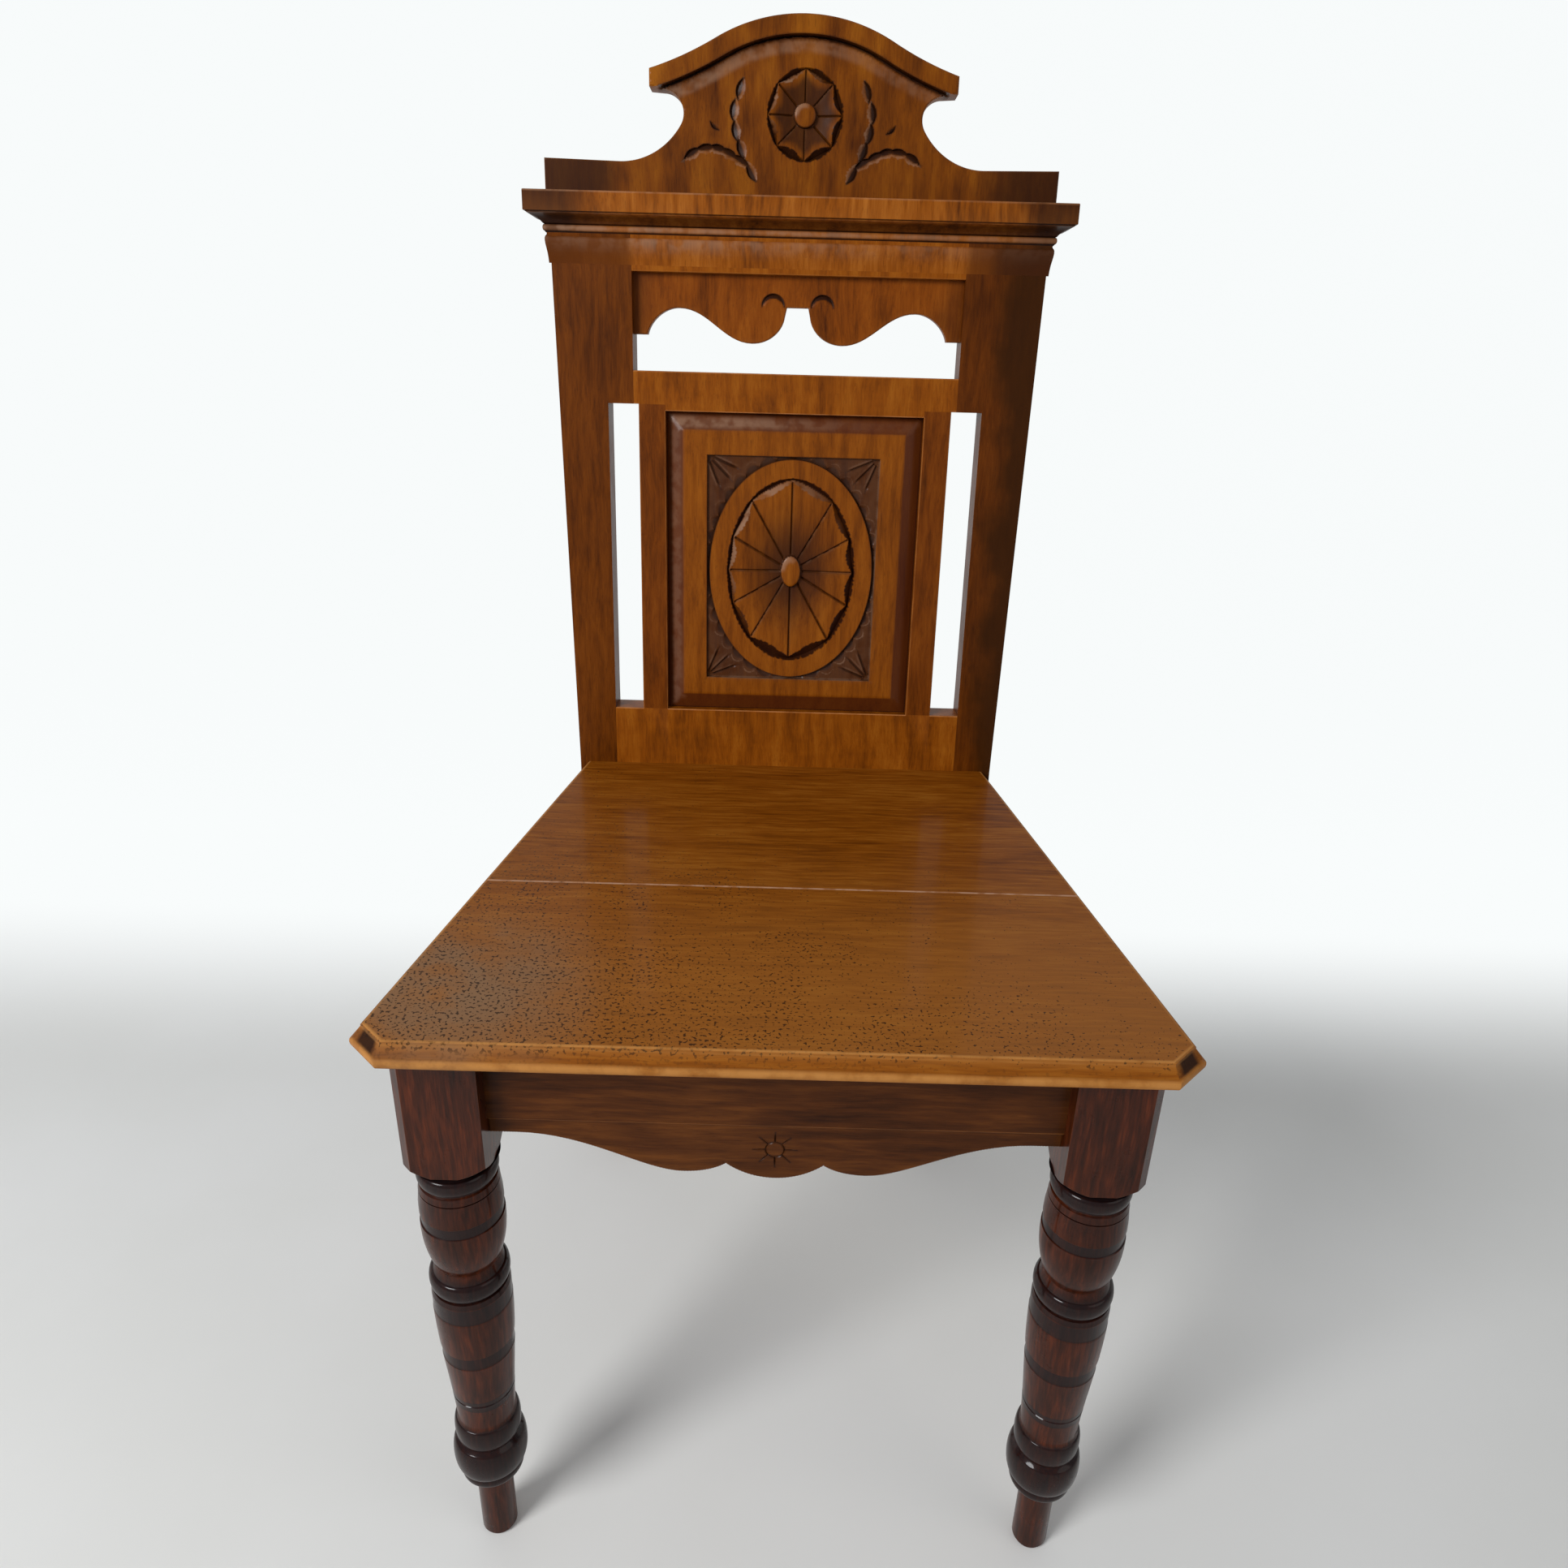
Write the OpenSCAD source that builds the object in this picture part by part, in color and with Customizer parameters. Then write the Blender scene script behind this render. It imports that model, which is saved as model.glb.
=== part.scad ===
// Victorian hall chair in solid wood, with a carved panel back and turned front legs.
// Millimetres. X runs left to right, Y from the front to the back, Z up from the floor.

/* [Seat] */
// Height of the seat's top face above the floor
seat_height = 450; // [420:5:480]
// Width of the seat at its widest, near the front
seat_front_w = 472; // [446:1:494]
// Width of the seat at the back, and of the back where it meets the seat
seat_back_w = 346; // [330:1:370]
// Depth of the seat from its front edge to the face of the back
seat_depth = 392; // [360:1:420]
// Thickness of the seat boards
seat_t = 14; // [13:0.5:18]
// Size of the cut across each front corner of the seat
seat_corner_cut = 20; // [14:0.5:24]
// Distance from the front edge to the joint between the two boards
seat_seam_y = 184; // [150:1:230]
// Distance that the top face stops short of the lower edge
edge_inset = 7; // [5:0.5:9]
// Height of the sloping band of the edge moulding
edge_band_h = 6; // [4:0.5:6.5]
// Height of the rounded nosing under the band
edge_nosing_h = 6; // [4:0.5:6.5]
// Diameter of the dowels in the seat joint
seat_dowel_d = 7; // [5:0.5:8]
// Length of the dowels in the seat joint
seat_dowel_l = 50; // [30:1:60]

/* [Seat frame] */
// Height of the front, side and rear seat rails
rail_h = 56; // [46:0.5:62]
// Thickness of the seat rails
rail_t = 20; // [16:0.5:22]
// Distance from the face of a front leg block back to the face of the front rail
front_rail_set = 12; // [8:0.5:14]
// Distance from the outer face of a front leg block in to the face of the side rail
side_rail_set = 6; // [4:0.5:8]
// Distance from the outer face of a back post in to the face of the side rail
side_rail_rear_set = 2; // [1:0.5:4]
// Distance from the face of the back posts back to the face of the rear rail
rear_rail_set = 6; // [3:0.5:8]
// Thickness of the tenons of the seat rails
tenon_t = 10; // [8:0.5:11]
// Length of the tenons in the front legs and of the side rails in the back posts
tenon_l = 20; // [14:0.5:22]
// Length of the rear rail's tenons in the back posts
tenon_short_l = 9; // [6:0.5:10]
// Shoulder above and below each tenon
tenon_shoulder = 6; // [4:0.5:10]
// Gap for glue round each tenon, dowel and tongue
glue_gap = 0.1; // [0.05:0.05:0.3]

/* [Apron] */
// Depth of the shaped apron board below the front rail at its middle
apron_h = 40.7; // [34:0.5:48]
// Thickness of the apron board
apron_t = 12; // [10:0.5:14]
// Distance from the rail's face back to the apron's face
apron_set = 2; // [1:0.5:4]
// Depth of the apron's tongue in the rail
apron_tongue_l = 7; // [5:0.5:10]
// Thickness of the apron's tongue
apron_tongue_t = 5; // [4:0.5:6]
// Length of the rays of the star cut in the apron
star_ray = 13; // [10:0.5:15]
// Radius of the ring cut in the middle of the star
star_ring_r = 5.5; // [4:0.5:7]

/* [Front legs] */
// Side of the square block at the top of a front leg
leg_block_w = 50; // [46:0.5:54]
// Height of the bottom of the block above the floor
leg_turned_h = 345; // [330:1:358]
// Largest radius of the turning
leg_turned_r = 26.2; // [23:0.2:27]
// Distance from the widest side of the seat in to the leg's axis
leg_side_inset = 44; // [40:0.5:50]
// Distance from the seat's front edge back to the leg's axis
leg_front_inset = 41; // [36:0.5:46]
// Chamfer down the outer front corner of the block
leg_chamfer = 6; // [3:0.5:9]
// Radius of the foot where it meets the floor
foot_r = 12.2; // [10:0.2:14]

/* [Back posts] */
// Angle that the back leans away from upright
back_rake = 4.7; // [3:0.1:7]
// Thickness of the frame of the back
back_t = 25; // [22:0.5:28]
// Width of a post beside the slots and below the seat
post_w = 30.8; // [26:0.2:36]
// Depth of a post at the seat rails, from front to back
post_depth = 34; // [30:0.5:38]
// Distance from the posts' face at the seat back to the front of their feet
post_foot_set = 55; // [40:1:70]
// Depth and width of a post's foot
post_foot_w = 26; // [22:0.5:28]
// Width over both posts under the cornice
back_head_w = 362.6; // [350:0.2:374]
// Width of the opening between the posts above the slots
opening_w = 245.6; // [236:0.2:252]

/* [Back frame] */
// Height of the bottom rail of the back above the seat
bottom_rail_h = 48; // [40:1:56]
// Height of the slots beside the panel
slot_h = 240; // [225:1:255]
// Width of the slots beside the panel
slot_w = 23; // [18:0.2:26]
// Width of the two muntins beside the panel
muntin_w = 20.5; // [17:0.2:24]
// Height of the middle rail above the slots
middle_rail_h = 24; // [20:0.5:28]
// Extra depth of the middle rail over the panel
middle_rail_drop = 4.7; // [3:0.1:7]
// Height of the opening above the middle rail
opening_h = 68.4; // [62:0.2:76]
// Height of the top rail's face
top_rail_h = 24; // [20:0.5:28]
// Swell of the frame's face out to the cornice
swell = 3; // [2:0.2:3.6]
// Swell of the posts' outer sides out to the cornice
side_swell = 2.2; // [1:0.2:3]
// Height of the swell
swell_h = 22; // [16:0.5:23]
// Thickness of the tenons in the back
back_tenon_t = 8; // [6:0.5:9]
// Length of the rail tenons in the posts
back_tenon_l = 12; // [8:0.5:14]

/* [Panel] */
// Distance from the frame's face back to the panel's raised field
field_set = 2.5; // [1.5:0.1:4]
// Width of the bevel round the raised field
bevel_w = 13.5; // [11:0.5:16]
// Height of the bevel from the tongue to the field
bevel_h = 5.6; // [4:0.2:6.5]
// Thickness of the panel's tongue
panel_tongue_t = 5.8; // [4.5:0.1:7]
// Depth of the grooves that hold the panel
groove_l = 6; // [4:0.5:8]
// Room left for the panel to move in its grooves
panel_play = 0.3; // [0.1:0.1:1]
// Half width of the carved rectangle
carving_half_w = 67; // [62:0.5:70]
// Half height of the carved rectangle
carving_half_h = 88.3; // [82:0.5:92]
// Height of the middle of the carving above the seat
carving_z = 163.7; // [160:0.1:168]
// Half width of the oval ring
ring_half_w = 64.8; // [60:0.2:65]
// Half height of the oval ring
ring_half_h = 86.2; // [80:0.2:86.4]
// Width of the oval ring
ring_w = 14; // [11:0.2:16]
// Depth of the corner fans below the field
fan_d = 2.2; // [1.5:0.1:3]
// Depth of the scalloped trenches beside the ring
trench_d = 3.6; // [2.5:0.1:4.5]
// Depth of the dish in the middle of the oval flower
flower_dish_d = 2.6; // [1.5:0.1:3.2]
// Depth of the cuts between the petals
petal_cut_d = 1.4; // [0.8:0.1:2]
// Petals of the oval flower
oval_petals = 12; // [8:1:16]
// Half width of the oval button
button_half_w = 7.6; // [6:0.2:9]
// Half height of the oval button
button_half_h = 12; // [9:0.5:14]

/* [Frieze] */
// Depth of the frieze board below the top rail at its lobes
frieze_h = 47.2; // [42:0.2:52]
// Thickness of the frieze board
frieze_t = 8; // [6:0.5:9]
// Distance from the frame's face back to the frieze board
frieze_set = 7; // [5:0.5:9]
// Depth of the frieze board's tongues in the rail and the posts
frieze_tongue_l = 5; // [3:0.5:6]
// Radius of the cut over each scroll
scroll_r = 8; // [6:0.5:9]

/* [Cornice] */
// Width over the ends of the cornice
cornice_w = 394; // [384:1:406]
// Height of the cornice
cornice_h = 26; // [23:0.5:29]
// Height of the flat band at the top of the cornice
cornice_band_h = 13.5; // [11:0.5:15]
// Distance that the cornice stands out from the frame's face
cornice_out = 17.5; // [14:0.5:20]

/* [Crest] */
// Height of the crest above the cornice
crest_h = 114.7; // [108:0.1:122]
// Thickness of the crest board
crest_t = 12; // [10.5:0.5:16]
// Width of the crest at its foot
crest_foot_w = 370.4; // [356:0.2:376]
// Height of the crest's foot at its ends
crest_end_h = 23.7; // [20:0.1:27]
// Width of the crest at its neck
crest_neck_w = 169.6; // [160:0.2:178]
// Height of the middle of the neck above the cornice
crest_neck_z = 54; // [51:0.5:57]
// Radius of the small curve at the top of the neck
crest_neck_r = 14; // [12:0.5:15]
// Radius of the long curve down to the foot
crest_sweep_r = 52; // [48:0.5:56]
// Width over the tips of the hood
hood_w = 216.4; // [206:0.2:226]
// Thickness of the hood at its tips
hood_tip_t = 11; // [9:0.2:13]
// Width of the hood's moulding
hood_t = 12; // [9:0.5:15]
// Distance that the hood stands out from the crest's face
hood_out = 7; // [5:0.5:9]
// Radius of the hood's middle arch
arch_r = 130; // [122:1:140]
// Half width of the hood's middle arch
arch_half_w = 62; // [56:1:68]
// Radius of the hood's two outer curves
arch_turn_r = 249; // [230:1:270]
// Half width of the round flower
rosette_half_w = 27; // [24:0.5:29]
// Half height of the round flower
rosette_half_h = 29.5; // [26:0.5:31]
// Height of the middle of the round flower above the cornice
rosette_z = 53; // [50:0.5:56]
// Petals of the round flower
rosette_petals = 8; // [6:1:10]
// Radius of the button in the round flower
rosette_button_r = 7.6; // [6:0.2:9]
// Length of one gouge cut in the chains of cuts
gouge_l = 13; // [10:0.5:14]
// Width of one gouge cut
gouge_w = 5; // [4:0.2:6]

/* [Dowels, blocks and screws] */
// Diameter of the dowels in the cornice and the crest
dowel_d = 8; // [6:0.5:10]
// Depth of each of those dowels in the wood at its end
dowel_l = 16; // [12:0.5:18]
// Distance of the crest's dowels from the middle
crest_dowel_x = 84; // [60:1:100]
// Height of the glued corner blocks
block_h = 30; // [24:1:38]
// Length of a corner block along each rail
block_l = 58; // [48:1:66]
// Radius of the screws' shanks
screw_r = 1.9; // [1.5:0.1:2.4]
// Radius of the screws' heads
screw_head_r = 3.6; // [3:0.1:4.4]
// Height of the screws' heads
screw_head_h = 2.4; // [1.8:0.1:3]
// Depth of the screws in the rails and in the seat
screw_grip = 9; // [6:0.5:10]
// Wood left under a sunk screw head
screw_bed = 14; // [11:0.5:17]

/* [Hidden] */
$fn = 64;
// Distance that a cut runs past the face it starts from
overrun = 1.5;
// Steps along a curve, and round an oval
curve_steps = 8;
oval_steps = 72;

// Places in the seat frame
seat_under_z = seat_height - seat_t;
rail_bottom_z = seat_under_z - rail_h;
seat_front_y = -seat_depth / 2;
seat_back_y = seat_depth / 2;
post_face_y = seat_back_y - seat_t * tan(back_rake);
leg_x = seat_front_w / 2 - leg_side_inset;
leg_y = seat_front_y + leg_front_inset;
leg_in_x = leg_x - leg_block_w / 2;
leg_rear_y = leg_y + leg_block_w / 2;
front_rail_y = leg_y - leg_block_w / 2 + front_rail_set;
apron_y = front_rail_y + apron_set;
side_front_x = leg_x + leg_block_w / 2 - side_rail_set;
side_rear_x = seat_back_w / 2 - side_rail_rear_set;
rear_rail_y = post_face_y + rear_rail_set;
post_in_x = seat_back_w / 2 - post_w;
tongue_rear_y = rear_rail_y + rail_t;

// Heights in the back, measured up its slope from the seat
slot_head_v = bottom_rail_h + slot_h;
panel_head_v = slot_head_v - middle_rail_drop;
middle_rail_v = slot_head_v + middle_rail_h;
opening_head_v = middle_rail_v + opening_h;
head_v = opening_head_v + top_rail_h;
cornice_v = head_v + cornice_h;
swell_v = head_v - swell_h;

// Half widths in the back
opening_x = opening_w / 2;
muntin_out_x = post_in_x - slot_w;
muntin_in_x = muntin_out_x - muntin_w;
back_head_x = back_head_w / 2;

// Depths in the back, measured back from the frame's face
tongue_set = field_set + bevel_h;
back_tenon_set = tongue_set;
crest_face = hood_out;

// Middle of the whole chair from front to back, put over the origin
rearmost_y = max(post_face_y + post_foot_set + post_foot_w, back_pt(back_t, cornice_v)[0],
    back_pt(crest_face + crest_t, cornice_v + crest_h)[0]);
middle_y = (seat_front_y + rearmost_y) / 2;

// Curves, as lists of points
function arc(c, r, from, to, n = curve_steps) =
    [for (i = [0:n]) let (a = from + (to - from) * i / n) [c[0] + r * cos(a), c[1] + r * sin(a)]];
function bend(a, b, c, d, n = curve_steps) =
    [for (i = [0:n]) let (t = i / n, s = 1 - t)
        s * s * s * a + 3 * s * s * t * b + 3 * s * t * t * c + t * t * t * d];
function oval(a, b, n = oval_steps) = [for (i = [0:n - 1]) [a * cos(360 * i / n), b * sin(360 * i / n)]];
function mirrored(pts) = concat(pts, [for (i = [len(pts) - 1:-1:0]) [-pts[i][0], pts[i][1]]]);
function scaled(shares, w, h) = [for (s = shares) [s[0] * w, s[1] * h]];
// Point on the side view of the back: depth behind its face, and height up its slope
function back_pt(depth, v) =
    [seat_back_y + v * sin(back_rake) + depth * cos(back_rake),
     seat_height + v * cos(back_rake) - depth * sin(back_rake)];

// Frames and small helpers
module placed() { translate([0, -middle_y, 0]) children(); }
module tilted() { translate([0, seat_back_y, seat_height]) rotate([-back_rake, 0, 0]) children(); }
module right_side() { mirror([1, 0, 0]) children(); }
module box(from, to) { translate(from) cube([to[0] - from[0], to[1] - from[1], to[2] - from[2]]); }
// Outline in X and Z, from one depth to another
module board(from_y, to_y) {
    translate([0, to_y, 0]) rotate([90, 0, 0]) linear_extrude(to_y - from_y) children();
}
// Outline in Y and Z, across a width
module across(from_x, to_x) {
    translate([from_x, 0, 0]) rotate([90, 0, 90]) linear_extrude(to_x - from_x) children();
}
// V-shaped cut along a surface that starts at a depth below the face and may slope
module v_cut(x, z, angle, length, w, d, sink = 0, slope = 0) {
    rise = sink + overrun;
    half_w = w / 2 * (1 + rise / d);
    translate([x, sink, z]) rotate([0, -angle, 0]) rotate([0, 0, slope]) across(0, length)
        polygon([[d, 0], [-rise, half_w], [-rise, -half_w]]);
}
// Boat-shaped gouge cut, pointed at both ends: shares of its width and length
gouge_shares = [[0, -0.5], [0.38, -0.22], [0.5, 0], [0.38, 0.22], [0, 0.5]];
module gouge(x, z, angle) {
    translate([x, 0, z]) rotate([0, 90 - angle, 0]) rotate_extrude($fn = 24)
        polygon(scaled(gouge_shares, gouge_w, gouge_l));
}

// Seat
seat_outline = mirrored([[seat_front_w / 2 - seat_corner_cut, seat_front_y],
    [seat_front_w / 2, seat_front_y + seat_corner_cut], [seat_back_w / 2, seat_back_y]]);
edge_quirk = 0.8;
// The small ledges of the moulding rise a little towards the board
quirk_rise = 0.3;
nosing_shares = [[0.3, 0], [-0.1, 0], [-0.1, 1], [0.25, 1]];
nosing = scaled(nosing_shares, edge_nosing_h, edge_nosing_h);
// Cut outside the moulded edge: distance in from the lower edge, and height in the board
edge_outline = concat([[-overrun, seat_t + overrun], [-overrun, -overrun], [nosing[0][0], -overrun]],
    bend(nosing[0], nosing[1], nosing[2], nosing[3]),
    [[nosing[3][0] + edge_quirk, edge_nosing_h + quirk_rise],
     [edge_inset - edge_quirk, edge_nosing_h + edge_band_h],
     [edge_inset - edge_quirk, seat_t - edge_quirk],
     [edge_inset, seat_t - edge_quirk + quirk_rise],
     [edge_inset, seat_t + overrun]]);
// Cut along one edge of the seat, from point a to point b of its outline
module edge_cut(a, b) {
    run = b - a;
    reach = seat_corner_cut;
    translate([a[0], a[1], seat_under_z]) rotate([0, 0, atan2(run[1], run[0])])
        across(-reach, norm(run) + reach) polygon(edge_outline);
}
module seat_blank() {
    corner = [seat_front_w / 2 - seat_corner_cut, seat_front_y];
    side = [seat_front_w / 2, seat_front_y + seat_corner_cut];
    difference() {
        union() {
            translate([0, 0, seat_under_z]) linear_extrude(seat_t) polygon(seat_outline);
            box([-post_in_x + glue_gap, 0, seat_under_z], [post_in_x - glue_gap, tongue_rear_y, seat_height]);
        }
        edge_cut([-corner[0], corner[1]], corner);
        for (i = [0:1]) mirror([i, 0, 0]) {
            edge_cut(corner, side);
            edge_cut(side, [seat_back_w / 2, seat_back_y]);
            tilted() box([post_in_x - glue_gap, 0, -2 * seat_t], [seat_front_w / 2, 2 * seat_t, seat_t]);
        }
    }
}
seam_y = seat_front_y + seat_seam_y;
seat_dowel_share = 0.36;
module seat_dowel_set(gap) {
    for (i = [-1:1]) translate([i * seat_front_w * seat_dowel_share, seam_y, seat_under_z + seat_t / 2])
        rotate([90, 0, 0]) cylinder(d = seat_dowel_d + 2 * gap, h = seat_dowel_l + 2 * gap, center = true);
}
module seat_half(from_y, to_y) {
    difference() {
        intersection() {
            seat_blank();
            box([-seat_front_w, from_y, 0], [seat_front_w, to_y, seat_height + overrun]);
        }
        seat_dowel_set(glue_gap);
        seat_screw_set(screw_gap);
    }
}
module seat_front_board() { color("#9a5a24") placed() seat_half(seat_front_y - overrun, seam_y); }
module seat_rear_board() { color("#8f5222") placed() seat_half(seam_y, rearmost_y); }
module seat_dowels() { color("#c9a36a") placed() seat_dowel_set(0); }

// Front legs: heights and radii of the turning, as shares of its height and largest radius
foot_shares = [[0, 0.88], [0.008, 1], [0.176, 1], [0.178, 1.08]];
cup_shares = [[0.182, 0.62], [0.186, 0.70]];
collar_beads_shares = [[0.188, 0.209, 0.77, 0.05], [0.212, 0.286, 0.83, 0.12], [0.292, 0.345, 0.77, 0.075]];
vase_shares = [[0.351, 0.735], [0.440, 0.76], [0.550, 0.955], [0.655, 0.955]];
shoulder_shares = [[0.690, 0.945], [0.700, 0.915], [0.701, 0.86]];
neck_bead_share = [0.703, 0.741, 0.85, 0.11];
bowl_shares = [[0.758, 0.775], [0.778, 0.87], [0.806, 0.985], [0.850, 0.985]];
bowl_head_shares = [[0.905, 0.965], [0.932, 0.93], [0.948, 0.905], [0.950, 0.86]];
block_bead_share = [0.953, 0.984, 0.85, 0.09];
block_neck_shares = [[0.986, 0.86], [0.994, 0.86], [0.995, 1]];
line_shares = [[0.420, 0.779], [0.932, 0.93]];
band_shares = [[0.530, 0.875, 0.030], [0.672, 0.93, 0.018], [0.862, 0.955, 0.022]];
line_d = 0.9;
function turned(shares) = [for (s = shares) [s[1] * leg_turned_r, s[0] * leg_turned_h]];
function bead(s) = [for (i = [0:curve_steps]) let (t = 180 * i / curve_steps)
    [(s[2] + s[3] * sin(t)) * leg_turned_r, (s[0] + (s[1] - s[0]) * (1 - cos(t)) / 2) * leg_turned_h]];
function swept(shares) = let (p = turned(shares)) bend(p[0], p[1], p[2], p[3], 2 * curve_steps);
leg_outline = concat([[0, 0]], [for (s = foot_shares) [s[1] * foot_r, s[0] * leg_turned_h]],
    turned(cup_shares), bead(collar_beads_shares[0]), bead(collar_beads_shares[1]),
    bead(collar_beads_shares[2]), swept(vase_shares), turned(shoulder_shares), bead(neck_bead_share),
    swept(bowl_shares), turned(bowl_head_shares), bead(block_bead_share), turned(block_neck_shares));
block_half = leg_block_w / 2;
block_diagonal = block_half * sqrt(2);
leg_blank = concat(leg_outline, [[leg_turned_r, leg_turned_h],
    [block_diagonal + overrun, leg_turned_h + block_diagonal + overrun - leg_turned_r],
    [block_diagonal + overrun, seat_under_z], [0, seat_under_z]]);
module front_leg() {
    difference() {
        intersection() {
            translate([leg_x, leg_y, 0]) rotate_extrude() polygon(leg_blank);
            translate([leg_x - block_half, leg_y - block_half, 0])
                cube([leg_block_w, leg_block_w, seat_under_z]);
        }
        // Chamfer on the outer front corner
        translate([leg_x + block_half, leg_y - block_half, leg_turned_h - overrun]) rotate([0, 0, 45])
            translate([-2 * leg_chamfer, leg_chamfer / sqrt(2) - 2 * leg_chamfer, 0])
                cube([4 * leg_chamfer, 2 * leg_chamfer, seat_height]);
        // Lines cut and bands sunk in the turning
        for (s = line_shares) translate([leg_x, leg_y, s[0] * leg_turned_h]) rotate_extrude()
            polygon([[s[1] * leg_turned_r - line_d, 0], [s[1] * leg_turned_r + line_d, line_d],
                [s[1] * leg_turned_r + line_d, -line_d]]);
        for (s = band_shares) translate([leg_x, leg_y, s[0] * leg_turned_h]) rotate_extrude()
            polygon([[s[1] * leg_turned_r, 0], [leg_block_w, 0], [leg_block_w, s[2] * leg_turned_h],
                [s[1] * leg_turned_r, s[2] * leg_turned_h]]);
        front_tenon(glue_gap);
        side_tenon_front(glue_gap);
    }
}
module front_leg_right() { color("#4a2416") placed() front_leg(); }
module front_leg_left() { color("#4a2416") placed() right_side() front_leg(); }

// Seat rails, with their tenons rooted in them: a gap makes the tenon's mortise
module front_tenon(gap) {
    mid_y = front_rail_y + rail_t / 2;
    box([leg_in_x - overrun, mid_y - tenon_t / 2 - gap, rail_bottom_z + tenon_shoulder - gap],
        [leg_in_x + tenon_l + gap, mid_y + tenon_t / 2 + gap, seat_under_z - tenon_shoulder + gap]);
}
module side_tenon_front(gap) {
    mid_x = side_front_x - rail_t / 2;
    box([mid_x - tenon_t / 2 - gap, leg_rear_y - tenon_l - gap, rail_bottom_z + tenon_shoulder - gap],
        [mid_x + tenon_t / 2 + gap, leg_rear_y + overrun, seat_under_z - tenon_shoulder + gap]);
}
module side_tenon_rear(gap) {
    mid_x = side_rear_x - rail_t / 2;
    box([mid_x - tenon_t / 2 - gap, post_face_y - overrun, rail_bottom_z + tenon_shoulder - gap],
        [mid_x + tenon_t / 2 + gap, post_face_y + tenon_l + gap, seat_under_z - tenon_shoulder + gap]);
}
module rear_tenon(gap) {
    mid_y = rear_rail_y + rail_t / 2;
    box([post_in_x - overrun, mid_y - tenon_t / 2 - gap, rail_bottom_z + tenon_shoulder - gap],
        [post_in_x + tenon_short_l + gap, mid_y + tenon_t / 2 + gap, seat_under_z - tenon_shoulder + gap]);
}
module front_rail() {
    color("#5a2d17") placed() difference() {
        union() {
            box([-leg_in_x, front_rail_y, rail_bottom_z], [leg_in_x, front_rail_y + rail_t, seat_under_z]);
            for (i = [0:1]) mirror([i, 0, 0]) front_tenon(0);
        }
        apron_tongue(glue_gap);
        for (i = [0:1]) mirror([i, 0, 0]) block_screw_set(screw_gap);
    }
}
function side_in_x(y) = side_front_x - rail_t
    - (side_front_x - side_rear_x) * (y - leg_rear_y) / (post_face_y - leg_rear_y);
module side_rail() {
    difference() {
        union() {
            translate([0, 0, rail_bottom_z]) linear_extrude(rail_h)
                polygon([[side_front_x, leg_rear_y], [side_rear_x, post_face_y],
                    [side_rear_x - rail_t, post_face_y], [side_front_x - rail_t, leg_rear_y]]);
            side_tenon_front(0);
            side_tenon_rear(0);
        }
        block_screw_set(screw_gap);
    }
}
module side_rail_right() { color("#54290f") placed() side_rail(); }
module side_rail_left() { color("#54290f") placed() right_side() side_rail(); }
module rear_seat_rail() {
    color("#54290f") placed() difference() {
        union() {
            box([-post_in_x, rear_rail_y, rail_bottom_z], [post_in_x, tongue_rear_y, seat_under_z]);
            for (i = [0:1]) mirror([i, 0, 0]) rear_tenon(0);
        }
        for (i = [0:1]) mirror([i, 0, 0]) block_screw_set(screw_gap);
    }
}

// Apron: shares of the half width between the leg blocks, and of its height, down from the rail
apron_ease_shares = [[0.904, 0.27], [0.651, 0.27], [0.470, 0.914], [0.325, 0.914]];
apron_cusp_shares = [[0.325, 0.914], [0.265, 0.914], [0.211, 0.86], [0.173, 0.744]];
apron_lobe_shares = [[0.173, 0.744], [0.120, 0.92], [0.060, 1], [0, 1]];
function hung(shares, w, h, top) = [for (s = shares) [s[0] * w, top - s[1] * h]];
function apron_curve(shares) =
    let (p = hung(shares, leg_in_x, apron_h, rail_bottom_z)) bend(p[0], p[1], p[2], p[3]);
apron_side = concat([[leg_in_x, rail_bottom_z], [leg_in_x, rail_bottom_z - apron_ease_shares[0][1] * apron_h]],
    apron_curve(apron_ease_shares), apron_curve(apron_cusp_shares), apron_curve(apron_lobe_shares));
star_share = 0.46;
star_z = rail_bottom_z - apron_h * star_share;
star_line_w = 1.6;
star_line_d = 1;
module apron_tongue(gap) {
    mid_y = apron_y + apron_t / 2;
    box([-leg_in_x + (apron_tongue_l - gap), mid_y - apron_tongue_t / 2 - gap, rail_bottom_z - overrun],
        [leg_in_x - (apron_tongue_l - gap), mid_y + apron_tongue_t / 2 + gap,
         rail_bottom_z + apron_tongue_l + gap]);
}
module front_apron() {
    color("#4e2716") placed() difference() {
        union() {
            board(apron_y, apron_y + apron_t) polygon(mirrored(apron_side));
            apron_tongue(0);
        }
        translate([0, apron_y, 0]) {
            for (a = [0:45:315]) v_cut(star_ring_r * cos(a), star_z + star_ring_r * sin(a), a,
                star_ray - star_ring_r, star_line_w, star_line_d);
            translate([0, 0, star_z]) rotate([-90, 0, 0]) rotate_extrude()
                translate([star_ring_r, 0]) polygon([[0, star_line_d], [-star_line_w / 2, 0],
                    [-star_line_w / 2, -overrun], [star_line_w / 2, -overrun], [star_line_w / 2, 0]]);
        }
    }
}

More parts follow.
